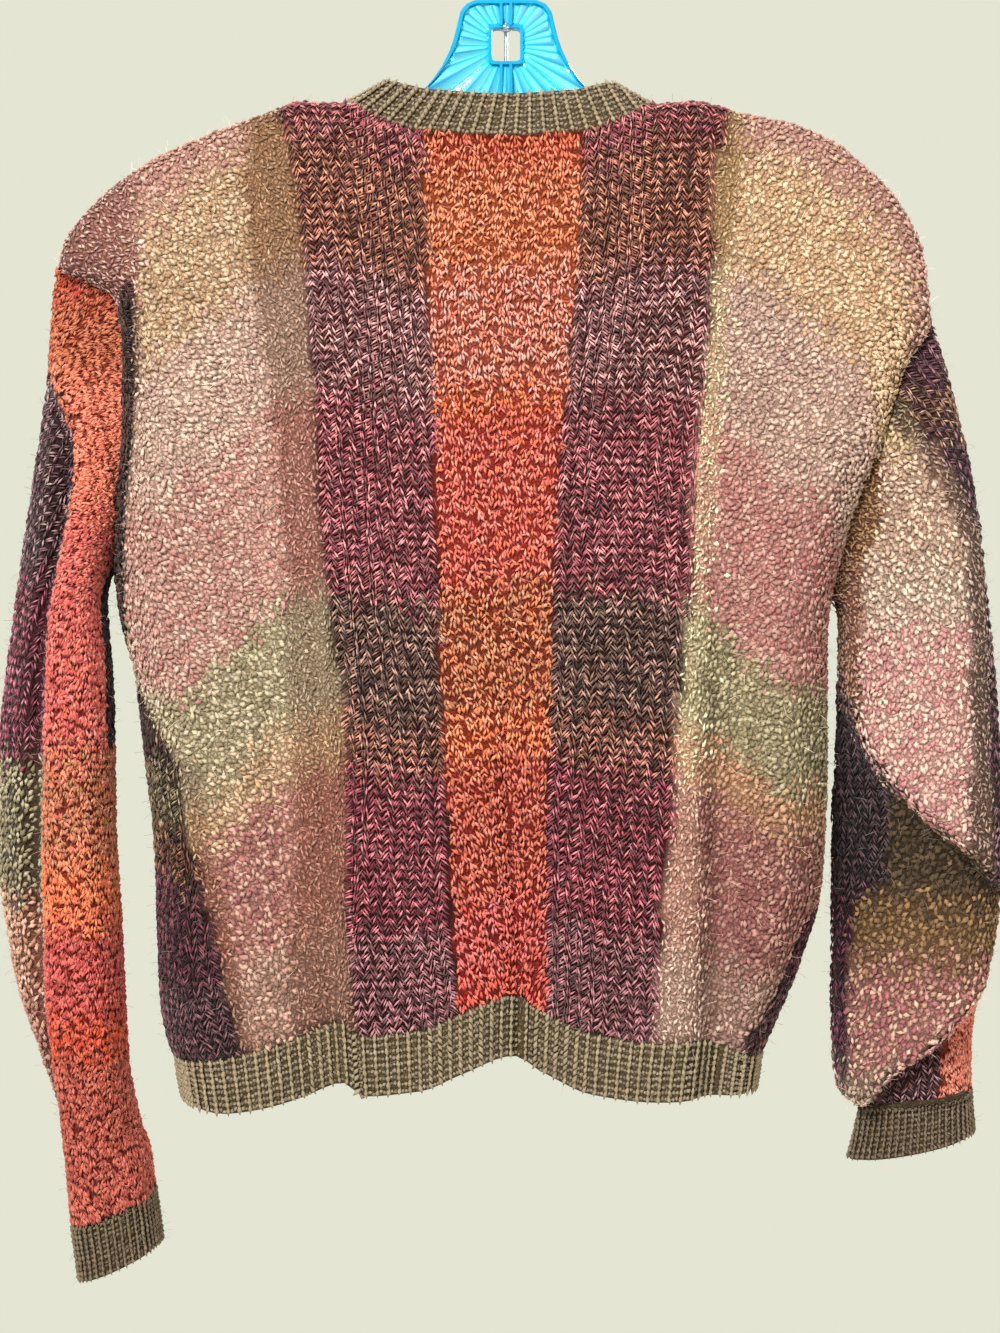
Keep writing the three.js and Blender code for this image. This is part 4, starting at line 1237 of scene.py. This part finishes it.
# %% Sleeve blocks
wedge_edge = follow([(-372, 262), (-340, 250), (-271, 216), (-240, 232), (-200, 232)])
seam_edge = follow([(-444, 193), (-373, 197), (-350, 206), (-315, 206), (-300, 180)])
# Left of this line, below its upper fold, the right sleeve is worked in plum in painted shade.
painted_shade_edge = follow([(-700, 186), (-650, 190), (-565, 193), (-545, 211), (-483, 211), (-440, 188)])


def left_part(turn, x, z):
    """The block of the left sleeve at each place, as an index into LEFT_PARTS."""
    degrees = np.degrees(turn)
    behind = degrees < ROLL_EDGE(z)
    front = (degrees < 166) | ((z < -475) & (degrees < 200))
    limits = [behind & (z > -483), behind, front, degrees < 200, degrees < 212, degrees < 320]
    return np.select(limits, range(6), 0)


def right_part(turn, x, z):
    """The block of the right sleeve at each place, as an index into RIGHT_PARTS."""
    degrees = np.degrees(turn)
    seen = degrees < 190
    upper = seen & (z > UPPER_FOLD(x))
    lower = seen & (z < LOWER_FOLD(x))
    limits = [
        upper & (x > wedge_edge(z)), upper & (x > wedge_edge(z) - 13), upper & (x < seam_edge(z)),
        upper, lower & (x > 240), lower & (x > 207), seen & (x < painted_shade_edge(z)), seen,
        degrees < 215, degrees < 300,
    ]
    return np.select(limits, range(10), 10)


LEFT_PARTS = [
    ("chevron", BEHIND_ROLL), ("nub", BEHIND_ROLL), ("fleck", ROLL_ORANGE), ("chevron", PLUM_IN_PAINTED_SHADE),
    ("fleece", SLEEVE_CREAM), ("nub", SLEEVE_CREAM),
]
RIGHT_PARTS = [
    ("chevron", RIGHT_WEDGE), ("fleece", WEDGE_STRIP), ("fleece", SEAM_STRIP), ("nub", UPPER_RIGHT),
    ("fleck", TUCKED_ORANGE), ("chevron", TUCKED_PLUM), ("chevron", PLUM_IN_PAINTED_SHADE), ("nub", FOREARM),
    ("fleece", SLEEVE_CREAM), ("fleck", ROLL_ORANGE), ("chevron", BEHIND_ROLL),
]
print("sleeve blocks:", len(LEFT_PARTS), "left,", len(RIGHT_PARTS), "right")


# %% Work the sleeves
RAGGED = 1.5  # mm by which stitches stray over the edge of a block
SLEEVE_WANDER = 7  # mm by which a band's edge wanders


def around(turn):
    """An edge that stays at one turn of the tube."""
    return lambda share: np.full_like(share, turn)


def work_sleeve(name, parts, part_of, flip):
    """Works a sleeve round and round. Each kind of stitch becomes one mesh."""
    surface = SLEEVES[name]
    made = []
    for kind in sorted({kind for kind, _ in parts}):
        size = STITCHES[kind]
        turn, share, wales, courses = knit_rows(
            surface, around(0.0), around(TURN), size["wale"], size["course"]
        )
        at_stitch = directions(surface, turn, share.clip(0.001, 0.999), flip, 0.02)
        ragged = at_stitch[0] + rng.normal(0, RAGGED, at_stitch[0].shape)
        part = part_of(turn, ragged[:, 0], ragged[:, 2])
        gathered = Stitches()
        for k, (worked, chart) in enumerate(parts):
            mine = part == k
            if worked == kind and mine.any():
                here = [each[mine] for each in at_stitch]
                depth = -here[0][:, 2]
                work(gathered, kind, here, wales[mine], courses[mine], chart, depth, SLEEVE_WANDER, 2)
        made.append(make_stitches(f"{name}_{kind}", gathered))
    return made


def make_tube(name, surface, stop, rows, sides, flip, shades_at):
    """The ground shell of a piece that goes all round."""
    turns = np.linspace(0, stop, sides, endpoint=False)
    level, turn = np.meshgrid(np.linspace(0, 1, rows), turns, indexing="ij")
    points = surface(turn, level)
    return shell(name + "_knit", points, shades_at(turn, points), True, flip)


def sleeve_ground(parts, part_of):
    """The ground's painted shade at each place of a sleeve."""

    def shades_at(turn, points):
        part = part_of(turn, points[..., 0], points[..., 2])
        grounds = np.array([ground_of(chart, -points[..., 2]) for _, chart in parts])
        return np.take_along_axis(grounds, part[None, ..., None], axis=0)[0]

    return shades_at


BOTH_SLEEVES = (
    ("sleeve_left", LEFT_PARTS, left_part, False), ("sleeve_right", RIGHT_PARTS, right_part, True),
)
for name, parts, part_of, flip in BOTH_SLEEVES:
    shells[name] = make_tube(name, SLEEVES[name], TURN, 112, 44, flip, sleeve_ground(parts, part_of))
    stitched[name] = work_sleeve(name, parts, part_of, flip)

# %% [markdown]
# ## Ribs
#
# One by one rib: a raised column of knit stitches, then a sunk column of purl stitches that lies
# in shade, and whose yarn is also painted darker as painted shade. The hem, the neckband and both
# cuffs are worked this way in taupe wool. Each wale is one upright grain on the ridge and one to
# two grains that lie across in the valley. Every row has the same number of wales, because one
# broken ridge would show at once.

# %% Rib pieces
def work_rib(name, surface, round_it, wale, course, purls, charts, reach, flip):
    """Works a rib all round a tube. Round_it is the full range of the surface's first number."""
    place, level, wales, courses = knit_rows(
        surface, around(0.0), around(round_it), wale, course, even=True
    )
    point, across, up, out = directions(surface, place, level, flip, reach, 0.02)
    count = len(point)
    tone = 0 * level
    ridge_chart, valley_shade_chart = charts
    gathered = Stitches()
    size = np.array([wale * 0.42, course * 1.75, 2.5]) * rng.uniform(0.85, 1.15, (count, 3))
    ridge = point + out * rng.uniform(1.1, 1.5, (count, 1))
    lean = rng.normal(0, 7, count)
    shade = shade_of(ridge_chart, tone, wales, courses, 0, 0.5)
    gathered.add(ridge, across, up, out, lean, size, shade)
    for purl in range(1, purls + 1):
        size = np.array([course * 0.7, wale * 0.95 / purls, 1.9]) * rng.uniform(0.8, 1.25, (count, 3))
        valley = point + across * wale * (purl / (purls + 1)) + up * rng.normal(0, 0.4, (count, 1))
        shade = shade_of(valley_shade_chart, tone, wales, courses, 0, 0.8)
        gathered.add(valley, across, up, out, rng.normal(80, 30, count), size, shade)
    return [make_stitches(f"{name}_stitches", gathered)]


BAND_ROUND = 2.0  # the hem and the neckband run from 0 to 1 behind and from 1 to 2 in front
# Wale width and course height in mm, purl stitches to a valley, the charts of ridge and valley
# (the valley's darker, painted shade), and how far to either side the cloth is felt for its direction.
RIBS = {
    "hem_rib": (hem_surface, BAND_ROUND, 5.9, 3.3, 2, (RIB, RIB_VALLEY_SHADE), 0.003, False),
    "neckband": (band_surface, BAND_ROUND, 7.0, 3.0, 2, (RIB, RIB_VALLEY_SHADE), 0.005, False),
    "cuff_left": (SLEEVES["cuff_left"], TURN, 4.0, 2.8, 1, (CUFF, CUFF_VALLEY_SHADE), 0.03, False),
    "cuff_right": (SLEEVES["cuff_right"], TURN, 3.8, 2.8, 1, (CUFF, CUFF_VALLEY_SHADE), 0.03, True),
}


def rib_ground(chart):
    """The ground's painted shade of a rib, which is the same all over."""
    return lambda turn, points: ground_of(chart, 0 * turn)


for name, (surface, round_it, wale, course, purls, charts, reach, flip) in RIBS.items():
    sides = 110 if round_it == BAND_ROUND else 40
    shells[name] = make_tube(name, surface, round_it, 9, sides, flip, rib_ground(charts[0]))
    stitched[name] = work_rib(name, surface, round_it, wale, course, purls, charts, reach, flip)

# %% [markdown]
# ## The mohair halo
#
# Brushed mohair stands off the cloth as a haze of fine hairs, which softens the outline. Hair
# particles would be lost in the export, so a second tree scatters narrow bent ribbons over the
# cloth, each at a random slant, and makes them plain mesh.

# %% The hair tree
HAIRS_PER_SQUARE_METRE = 21000
HAIR_LENGTH = 6.5 * MM
RIBBON_WIDTH = 0.02  # as a share of the hair's length


def build_hair_tree():
    """Bent ribbons scattered over a surface, at random slants and lengths."""
    tree, given = group_tree("mohair halo", {
        "Hairs per square metre": "NodeSocketFloat", "Length": "NodeSocketFloat",
        "Seed": "NodeSocketInt", "Fibre": "NodeSocketMaterial",
    })
    roots = add_node(tree, "GeometryNodeDistributePointsOnFaces", {
        "Mesh": given.outputs["Geometry"], "Density": given.outputs["Hairs per square metre"],
        "Seed": given.outputs["Seed"],
    })
    arc = add_node(tree, "GeometryNodeCurveQuadraticBezier", {
        "Resolution": 2, "Start": (0, 0, 0), "Middle": (0.1, 0, 0.6), "End": (0.55, 0.1, 0.8),
    })
    edge = add_node(tree, "GeometryNodeCurvePrimitiveLine", {
        "Start": (-RIBBON_WIDTH / 2, 0, 0), "End": (RIBBON_WIDTH / 2, 0, 0),
    })
    hair = add_node(tree, "GeometryNodeCurveToMesh", {
        "Curve": arc.outputs[0], "Profile Curve": edge.outputs[0],
    })
    spin = add_node(tree, "FunctionNodeRandomValue", {
        "Min": (-0.9, -0.9, 0.0), "Max": (0.9, 0.9, 6.28), "Seed": given.outputs["Seed"],
    }, data_type="FLOAT_VECTOR")
    twist = add_node(tree, "FunctionNodeEulerToRotation", {"Euler": spin.outputs[0]})
    turned = add_node(tree, "FunctionNodeRotateRotation", {
        "Rotation": roots.outputs["Rotation"], "Rotate By": twist.outputs[0],
    }, rotation_space="LOCAL")
    long = add_node(tree, "FunctionNodeRandomValue", {
        2: 0.35, 3: 1.3, "Seed": given.outputs["Seed"],
    }, data_type="FLOAT")
    size = add_node(tree, "ShaderNodeMath", {
        0: long.outputs[1], 1: given.outputs["Length"],
    }, operation="MULTIPLY")
    placed = add_node(tree, "GeometryNodeInstanceOnPoints", {
        "Points": roots.outputs["Points"], "Instance": hair.outputs[0],
        "Rotation": turned.outputs[0], "Scale": size.outputs[0],
    })
    real = add_node(tree, "GeometryNodeRealizeInstances", {"Geometry": placed.outputs[0]})
    dyed = add_node(tree, "GeometryNodeSetMaterial", {
        "Geometry": real.outputs[0], "Material": given.outputs["Fibre"],
    })
    add_node(tree, "NodeGroupOutput", {"Geometry": dyed.outputs[0]})
    return tree


HAIR_TREE = build_hair_tree()
print("nodes in the hair tree:", len(HAIR_TREE.nodes))


# %% Hairs on each piece
def add_halo(name, seed):
    """Grows hairs, lighter than the yarn, on a copy of a piece's outer surface."""
    mesh = shells[name].data.copy()
    piece = bpy.data.objects.new(name + "_halo", mesh)
    scene.collection.objects.link(piece)
    shades = np.zeros(len(mesh.vertices) * 4, np.float32)
    mesh.attributes["yarn"].data.foreach_get("color", shades)
    lighter = shades.reshape(-1, 4)
    # The shell's colour is the ground's painted shade, and for the hairs it is lifted well above the yarn's
    # own colour.
    lighter[:, :3] = np.clip(lighter[:, :3] * 2.2 + 0.2, 0, 1)
    mesh.attributes["yarn"].data.foreach_set("color", lighter.ravel())
    settle(piece, HAIR_TREE, {
        "Hairs per square metre": float(HAIRS_PER_SQUARE_METRE), "Length": HAIR_LENGTH,
        "Seed": seed, "Fibre": FIBRE,
    })
    print(piece.name, triangles(piece), "triangles")
    return piece


halos = {name: add_halo(name, seed) for seed, name in enumerate(shells)}

# %% [markdown]
# ## The hanger
#
# A moulded hanger of tinted see-through plastic. Its neck has a raised rim, a window for the head
# of the hook, a split rib up the middle, and facets that fan out from the window. All of that is
# star-shaped about the window, so the neck is made as rings of points round it, joined front and
# back. A saw-tooth of depth on the middle rings gives the facets their crisp steps.

# %% Hanger materials
def plastic_material():
    """Moulded polystyrene: glossy, tinted right through, with faint flow marks from the mould."""
    material = bpy.data.materials.new("tinted polystyrene, moulded")
    material.use_nodes = True
    tree = material.node_tree
    surface = tree.nodes["Principled BSDF"]
    where = add_node(tree, "ShaderNodeTexCoord")
    flow = add_node(tree, "ShaderNodeTexNoise", {
        "Vector": where.outputs["Object"], "Scale": 1 / (8 * MM), "Detail": 3.0,
    })
    facet = add_node(tree, "ShaderNodeAttribute", attribute_name="yarn", attribute_type="GEOMETRY")
    marks = add_node(tree, "ShaderNodeMapRange", {"Value": flow.outputs[0], "To Min": 0.86, "To Max": 1.1})
    tinted = add_node(tree, "ShaderNodeVectorMath", {
        0: facet.outputs["Color"], 1: marks.outputs["Result"],
    }, operation="MULTIPLY")
    relief = add_node(tree, "ShaderNodeBump", {
        "Height": flow.outputs[0], "Strength": 0.3, "Distance": 0.5 * MM,
    })
    tree.links.new(tinted.outputs[0], surface.inputs["Base Color"])
    tree.links.new(relief.outputs[0], surface.inputs["Normal"])
    surface.inputs["Roughness"].default_value = 0.12
    surface.inputs["IOR"].default_value = 1.59
    surface.inputs["Transmission Weight"].default_value = 0.25
    return material


def steel_material():
    """Plated steel wire: a bright mirror with fine drawing marks that break up its shine."""
    material = bpy.data.materials.new("plated steel wire")
    material.use_nodes = True
    tree = material.node_tree
    surface = tree.nodes["Principled BSDF"]
    where = add_node(tree, "ShaderNodeTexCoord")
    marks = add_node(tree, "ShaderNodeTexNoise", {
        "Vector": where.outputs["Object"], "Scale": 1 / (0.8 * MM), "Detail": 2.0,
    })
    dulled = add_node(tree, "ShaderNodeMapRange", {"Value": marks.outputs[0], "To Min": 0.1, "To Max": 0.3})
    tree.links.new(dulled.outputs["Result"], surface.inputs["Roughness"])
    surface.inputs["Base Color"].default_value = linear("#D4D8DA")
    surface.inputs["Metallic"].default_value = 1.0
    return material


PLASTIC = plastic_material()
STEEL = steel_material()
RIM_TINT, WEB_TINT, FACET_HIGHLIGHT_TINT, FACET_SHADE_TINT = "#00AEE4", "#16D0F2", "#84F4F6", "#009CDC"
print("hanger materials:", PLASTIC.name, "/", STEEL.name)

# %% Outlines of the hanger
# The neck's outline from the top to the shoulder, (distance from the middle, height), in mm.
NECK_OUTLINE = [
    (0, -61), (17, -61.4), (22, -63.5), (25.4, -68), (27, -75), (29, -83), (31.5, -90),
    (35.5, -98), (42, -107.5), (49.5, -114.5), (50, -121), (40, -128), (0, -128),
]
ARM_OUTLINE = [
    (44, -113), (54, -118), (67, -123), (89, -127.5), (120, -131.5), (150, -138.5), (178, -149),
    (196, -160.5), (202.5, -168), (201, -174), (196, -174.5), (178, -165.5), (150, -154.5),
    (120, -146.5), (80, -141.5), (44, -141),
]
WINDOW_MIDDLE, WINDOW_HALF = (0, -86), (7.9, 9.4)
WINDOW_SQUARENESS = 9  # 2 would make the window an ellipse, and a large number a plain rectangle
SPOKES, STEPS = 36, 5  # facets round the window, and points across each
ARM_HALF, BAR_HALF = 3.6, 4.1  # half of their depth


def reach_of(angle):
    """How far the neck's outline lies from the window's middle, in each direction."""
    right = np.array(NECK_OUTLINE, float)
    ring = np.vstack([right, (right * [-1, 1])[::-1]]) - WINDOW_MIDDLE
    after = np.roll(ring, -1, axis=0)
    dense = np.vstack([mix(a, b, t) for a, b in zip(ring, after) for t in np.linspace(0, 1, 12)[:-1]])
    turn = np.arctan2(dense[:, 1], dense[:, 0])
    order = np.argsort(turn)
    return np.interp(angle, turn[order], np.hypot(*dense.T)[order], period=TURN)


def window_reach(angle, grown=0):
    """A rounded rectangle round the window's middle."""
    power = WINDOW_SQUARENESS
    wide = np.abs(np.cos(angle)) / (WINDOW_HALF[0] + grown)
    tall = np.abs(np.sin(angle)) / (WINDOW_HALF[1] + grown)
    return 1 / (wide**power + tall**power) ** (1 / power)


print("from the window's middle down to the foot:", round(float(reach_of(-math.pi / 2))), "mm")


# %% Hanger neck
def plastic_piece(name, points, faces, tints):
    """A piece of the hanger from points in mm, with a tint for each point."""
    mesh = bpy.data.meshes.new(name)
    mesh.from_pydata((np.asarray(points) * MM).tolist(), [], faces)
    store(mesh, "yarn", "FLOAT_COLOR", np.asarray(tints))
    mesh.materials.append(PLASTIC)
    piece = bpy.data.objects.new(name, mesh)
    scene.collection.objects.link(piece)
    return piece


def hanger_neck():
    """Rings from the window out to the rim, front and back, closed at both edges."""
    angle = np.arange(SPOKES * STEPS) / (SPOKES * STEPS) * TURN
    saw = (np.arange(SPOKES * STEPS) % STEPS) / (STEPS - 1)
    depth = np.where(np.arange(SPOKES * STEPS) // STEPS % 2 == 0, saw, 1 - saw)
    out, start = reach_of(angle), window_reach(angle)
    frame_edge = window_reach(angle, 1.7)
    facet_start, facet_end = mix(frame_edge, out - 2.6, 0.08), mix(frame_edge, out - 2.6, 0.93)
    flat = 0 * angle
    # Across each facet the tint runs from a deep to a bright blue with the saw-tooth: painted shade and
    # painted highlight of the facets.
    lit = mix(np.array([linear(FACET_SHADE_TINT)]), np.array([linear(FACET_HIGHLIGHT_TINT)]), (saw**0.6)[:, None])
    web, rim = np.array([linear(WEB_TINT)]) + 0 * lit, np.array([linear(RIM_TINT)]) + 0 * lit
    rings = [
        (start, flat + 3.4, rim), (frame_edge, flat + 3.4, rim), (frame_edge + 0.3, flat + 1.2, web),
        (facet_start, 1.1 + 0.9 * depth, mix(web, lit, 0.5)), (facet_end, 1.1 + 2.1 * depth, lit),
        (out - 2.6, flat + 1.6, web), (out - 2.2, flat + 3.9, rim), (out - 0.5, flat + 3.9, rim),
        (out, flat + 3.2, rim),
    ]
    points, tints = [], []
    for side in (BACK, FRONT):
        for reach, depth_here, tint in rings:
            x, z = WINDOW_MIDDLE[0] + reach * np.cos(angle), WINDOW_MIDDLE[1] + reach * np.sin(angle)
            points.append(np.stack([x, side * depth_here, z], -1))
            tints.append(tint)
    count, wide = len(rings), len(angle)
    # The rings in order round a section: out along the back and home along the front.
    circuit = [*range(count), *range(2 * count - 1, count - 1, -1)]
    faces = []
    for j in range(wide):
        here, beside = j, (j + 1) % wide
        for a, b in zip(circuit, circuit[1:] + circuit[:1]):
            faces.append([a * wide + here, b * wide + here, b * wide + beside, a * wide + beside])
    return plastic_piece("hanger_neck", np.concatenate(points), faces, np.concatenate(tints))


hanger_pieces = [hanger_neck()]
print("triangles in the hanger's neck:", triangles(hanger_pieces[0]))


# %% Hanger arms, foot and the split rib
def face_outwards(mesh):
    """Turns every face of a closed mesh to point out."""
    made = bmesh.new()
    made.from_mesh(mesh)
    bmesh.ops.recalc_face_normals(made, faces=made.faces)
    made.to_mesh(mesh)
    made.free()


def slab(name, outline, half):
    """A flat closed piece with the given outline, (x, z) in mm, and a softened edge."""
    ring = np.array(outline, float)
    middle = ring.mean(axis=0)
    count = len(ring)
    points = []
    for grown, y in ((0.988, -half), (1, -half + 0.6), (1, half - 0.6), (0.988, half)):
        points += [[x, y, z] for x, z in middle + (ring - middle) * grown]
    faces = [list(range(count))[::-1], list(range(3 * count, 4 * count))]
    for low in (0, count, 2 * count):
        for j in range(count):
            after = (j + 1) % count
            faces.append([low + j, low + after, low + count + after, low + count + j])
    piece = plastic_piece(name, points, faces, np.tile(linear(RIM_TINT), (len(points), 1)))
    face_outwards(piece.data)
    return piece


def bar(name, x, low, high):
    """One upright half of the split rib."""
    return slab(name, [(x - 0.8, low), (x + 0.8, low), (x + 0.8, high), (x - 0.8, high)], BAR_HALF)


window_top, window_foot = WINDOW_MIDDLE[1] + WINDOW_HALF[1], WINDOW_MIDDLE[1] - WINDOW_HALF[1]
hanger_pieces += [
    slab("hanger_arm_left", [(-x, z) for x, z in ARM_OUTLINE], ARM_HALF),
    slab("hanger_arm_right", ARM_OUTLINE, ARM_HALF),
    slab("hanger_foot", [(-46, -126), (46, -126), (46, -141), (-46, -141)], ARM_HALF),
]
for side_name, x in (("left", -2.7), ("right", 2.7)):
    hanger_pieces.append(bar("hanger_upper_bar_" + side_name, x, window_top + 1, -61.8))
    hanger_pieces.append(bar("hanger_lower_bar_" + side_name, x, -126, window_foot - 1))
print("hanger pieces:", len(hanger_pieces))

# %% [markdown]
# ## The hook
#
# Plated steel wire, bent round a former and cut off with a rounded tip. It passes through the
# top of the neck and ends in a round head inside the window, and a thin stay hangs below. One
# function sweeps a round section along a flat route, which is all that bent wire is.

# %% A swept tube
HOOK_BEND, WIRE = 21, 2.0  # radius of the bend along the wire's middle, and of the wire
STAY = 0.95  # radius of the thin wire below the head


def tube(name, route, radii, sides=18):
    """A round closed tube along a flat route of (x, z) places at depth y = 0, with closed ends."""
    path = np.array(route, float)
    radii = np.broadcast_to(radii, len(path))
    along = np.gradient(path, axis=0)
    along = along / np.linalg.norm(along, axis=1, keepdims=True)
    turn = np.arange(sides) / sides * TURN
    points = [
        [x + r * math.cos(t) * dz, r * math.sin(t), z - r * math.cos(t) * dx]
        for (x, z), (dx, dz), r in zip(path, along, radii) for t in turn
    ]
    index = np.arange(len(path) * sides).reshape(len(path), sides)
    after = np.roll(index, -1, axis=1)
    faces = np.stack([index[:-1], after[:-1], after[1:], index[1:]], -1).reshape(-1, 4).tolist()
    faces += [index[0].tolist()[::-1], index[-1].tolist()]
    mesh = bpy.data.meshes.new(name)
    mesh.from_pydata((np.array(points) * MM).tolist(), [], faces)
    face_outwards(mesh)
    mesh.polygons.foreach_set("use_smooth", np.ones(len(faces), bool))
    mesh.materials.append(STEEL)
    piece = bpy.data.objects.new(name, mesh)
    scene.collection.objects.link(piece)
    return piece


print("wire", 2 * WIRE, "mm thick, bend", HOOK_BEND - WIRE, "mm clear inside")

# %% Hook, head and stay
bend = np.radians(np.arange(-62, 201, 4))
bend_middle = -HOOK_BEND + WIRE
start = (HOOK_BEND * math.cos(bend[0]), bend_middle + HOOK_BEND * math.sin(bend[0]))
rise = np.linspace(0, 1, 16)
neck_of_hook = [(start[0] * float(ease(t)) ** 1.3, mix(-58, start[1], t)) for t in rise[:-1]]
arc = [(HOOK_BEND * math.cos(t), bend_middle + HOOK_BEND * math.sin(t)) for t in bend]
stem = [(0, z) for z in np.linspace(window_top + 1.5, -59.5, 6)]
tip_radii = [WIRE] * (len(stem) + len(neck_of_hook) + len(arc) - 3) + [WIRE * 0.9, WIRE * 0.6, WIRE * 0.15]
head_heights = np.linspace(-1, 1, 13)
head_route = [(0, window_top + 0.6 + 2.3 * h) for h in head_heights]
head_radii = [0.3 + 3.3 * math.sqrt(1 - h * h) for h in head_heights]
hook_pieces = [
    tube("hanger_hook_wire", stem + neck_of_hook + arc, tip_radii),
    tube("hanger_hook_head", head_route, head_radii, 24),
    tube("hanger_stay", [(0, z) for z in np.linspace(-116, window_top - 1, 8)], STAY),
]
print("hook and stay:", [triangles(piece) for piece in hook_pieces], "triangles")

# %% [markdown]
# ## The pieces on one body
#
# Every piece rides on the one body, because nothing on the garment or its hanger is made to move.
# The shells stand for the knitted solids.

# %% Ride and replace
# Flat width and length of each knitted piece in metres, all round on a tube, and its slot.
CUT = {
    "back_panel": (0.50, 0.54, "knit"), "front_panel": (0.50, 0.54, "knit"),
    "sleeve_left": (0.27, 0.46, "knit"), "sleeve_right": (0.27, 0.42, "knit"),
    "hem_rib": (0.72, 0.033, "rib"), "neckband": (0.38, 0.025, "rib"),
    "cuff_left": (0.16, 0.033, "rib"), "cuff_right": (0.18, 0.030, "rib"),
}
for name, (width, length, slot) in CUT.items():
    pieces = [shells[name], *stitched[name], halos[name]]
    for piece in pieces:
        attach(piece, "root")
    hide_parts(name)
    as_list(pieces[1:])

HANGER_NODES = (
    ("hanger_frame", hanger_pieces, "hanger_plastic"), ("hanger_hook", hook_pieces, "hook_wire"),
)
for node, pieces, slot in HANGER_NODES:
    for piece in pieces:
        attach(piece, "root")
    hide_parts(node)

shown = [piece for piece in scene.objects if piece.type == "MESH" and not piece.hide_render]
print("triangles before the walls get their thickness:", sum(triangles(piece) for piece in shown))
